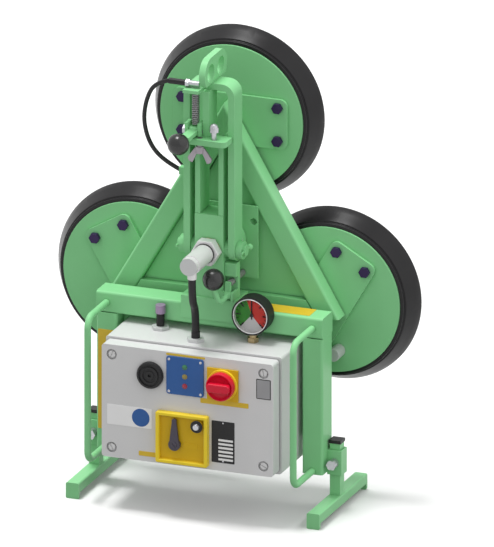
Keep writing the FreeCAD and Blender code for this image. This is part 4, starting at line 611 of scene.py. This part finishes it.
eased("hub_bush", brass, width=0.0004)
eased("hub_nut", steel, width=0.0012)
eased("hub_axle", steel, width=0.0006, zones=[(green_enamel, on_flange)])
eased("rotary_union", steel, width=0.001, zones=[(cast_grey, lambda at: at.y < union_front)])
union_ring = bmesh.new()
turned(union_ring, [(0.0174, 0), (0.0186, 0), (0.0191, 0.0008), (0.0191, 0.0026), (0.0186, 0.0034),
                    (0.0174, 0.0034), (0.0174, 0)], facing_front(0, union_seat, hub_z))
piece("union_ring", union_ring, black_shell, "carrier")


def hose(name, route, diameter, finish, body):
    """A hose along one smooth line through its route."""
    line = bpy.data.curves.new(name, "CURVE")
    line.dimensions = "3D"
    line.bevel_depth = diameter / 2
    line.bevel_resolution = 6
    line.resolution_u = 24
    line.use_fill_caps = True
    spline = line.splines.new("NURBS")
    spline.points.add(len(route) - 1)
    for point, place in zip(spline.points, route):
        point.co = (*place, 1)
    spline.order_u = 3
    spline.use_endpoint_u = True
    made = shown(bpy.data.objects.new(name, line))
    line.materials.append(finish)
    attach(made, body)
    return made


hose_rubber = coated("hose_rubber", (0.013, 0.012, 0.013), (0.008, 0.008, 0.009), 0.4, grain=900,
                     relief=0.00008, mirror=0.3)
hub_hose = hose("hub_hose_rubber", [(0, -0.0953, 0.450), (0, -0.0953, 0.409), (-0.008, -0.0563, 0.378),
                                    (-0.008, -0.0563, 0.3365)], 0.014, hose_rubber, "carrier")
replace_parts(hub_hose, "hub_hose")

# Hanger. A bow of flat steel bar that tilts on two pivot stubs, each kept by collars and a split pin, with
# a double lifting eye welded across its top.
for node in ("bail", "lifting_eye", "pivot_stubs", "pivot_retainers"):
    eased(node, green_enamel, width=0.0012)

# Tilt latch. A shelf on the hanger carries a sprung lever with a ball knob, a stop stud with an acorn nut,
# and a wing nut below. The spring is wound from steel wire and stretches as the lever moves. Here its coil
# is a fixed, smoothed copy of the CAD spring.
dull_zinc = coated("dull_zinc", (0.38, 0.34, 0.38), (0.30, 0.27, 0.30), 0.4, metal=0.4, grain=2600, drift=60)
knob_gloss = coated("knob_gloss", (0.016, 0.016, 0.016), (0.012, 0.012, 0.012), 0.26, grain=500, gloss=0.04)
for node, finish, slot, width in (
        ("latch_shelf", green_enamel, "green_paint", 0.001),
        ("latch_lever", green_enamel, "green_paint", 0.0008),
        ("latch_knob", knob_gloss, "black_plastic", 0),
        ("latch_fasteners", zinc, "bright_steel", 0.0006),
        ("wing_nut", dull_zinc, "bright_steel", 0.0008)):
    eased(node, finish, width=width)
spring = bmesh.new()
spring.from_mesh(frame["nodes"]["latch_spring"].data)
bmesh.ops.remove_doubles(spring, verts=spring.verts, dist=weld)
spring_mesh = bpy.data.meshes.new("latch_spring_wire")
spring.to_mesh(spring_mesh)
spring.free()
spring_mesh.shade_smooth()
spring_mesh.materials.append(dull_zinc)
spring_wire = shown(bpy.data.objects.new("latch_spring_wire", spring_mesh))
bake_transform(spring_wire)
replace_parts(spring_wire, "latch_spring")

# Control line. A thin black hose that leaves a screwed fitting beside the latch spring, swings out past the
# hanger and goes back into a clip on its left bar.
sleeve_right = -0.040
eased("line_fitting", zinc, width=0.0005,
      zones=[(hose_rubber, lambda at: at.x < sleeve_right)])
control_line = hose("control_line_rubber", [
    (-0.070, -0.0288, 0.7985), (-0.098, -0.0273, 0.791), (-0.118, -0.0203, 0.753), (-0.126, -0.0123, 0.707),
    (-0.116, -0.0033, 0.661), (-0.091, 0.0047, 0.631), (-0.063, 0.0092, 0.617)], 0.008, hose_rubber, "bail")
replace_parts(control_line, "control_line")

# Rotation lock. A welded bracket on the saddle guides a steel plunger, and a cranked lever with a ball knob
# pushes it into the hub plate.
for node, finish, slot, width in (
        ("index_bracket", green_enamel, "green_paint", 0.001),
        ("index_lever", green_enamel, "green_paint", 0.0006),
        ("index_knob", knob_gloss, "black_plastic", 0),
        ("index_plunger", dull_zinc, "bright_steel", 0.0006)):
    eased(node, finish, width=width)

# Turning frame. Square tubes welded to a triangle round a web plate, with a thick hub plate in front and
# three plates for the cups.
bar_round = 0.004
eased("frame_bars", green_enamel, width=0.0012, bold=(bar_round, tube_corner))
for node in ("web_plate", "hub_plate"):
    eased(node, green_enamel, width=0.0012)

# Suction cups. Each is a painted steel disc with a flared seal of moulded black rubber on its edge, held to
# the frame's plate by four dark hex bolts, with a cast air port.
cup_rubber = coated("cup_rubber", (0.014, 0.013, 0.014), (0.009, 0.009, 0.010), 0.32, grain=800,
                    relief=0.00001, drift=30, gloss=0.03, mirror=0.24)
dark_bolt = coated("dark_bolt", (0.030, 0.012, 0.075), (0.018, 0.008, 0.050), 0.4, metal=0.2, grain=2400,
                   mirror=0.3)
for node, finish, slot, width in (
        ("cup_discs", green_enamel, "green_paint", 0.001),
        ("cup_seals", cup_rubber, "cup_rubber", 0.0012),
        ("cup_bolts", dark_bolt, "dark_bolts", 0.0008),
        ("vacuum_ports", cast_grey, "bright_steel", 0.0008)):
    eased(node, finish, width=width)
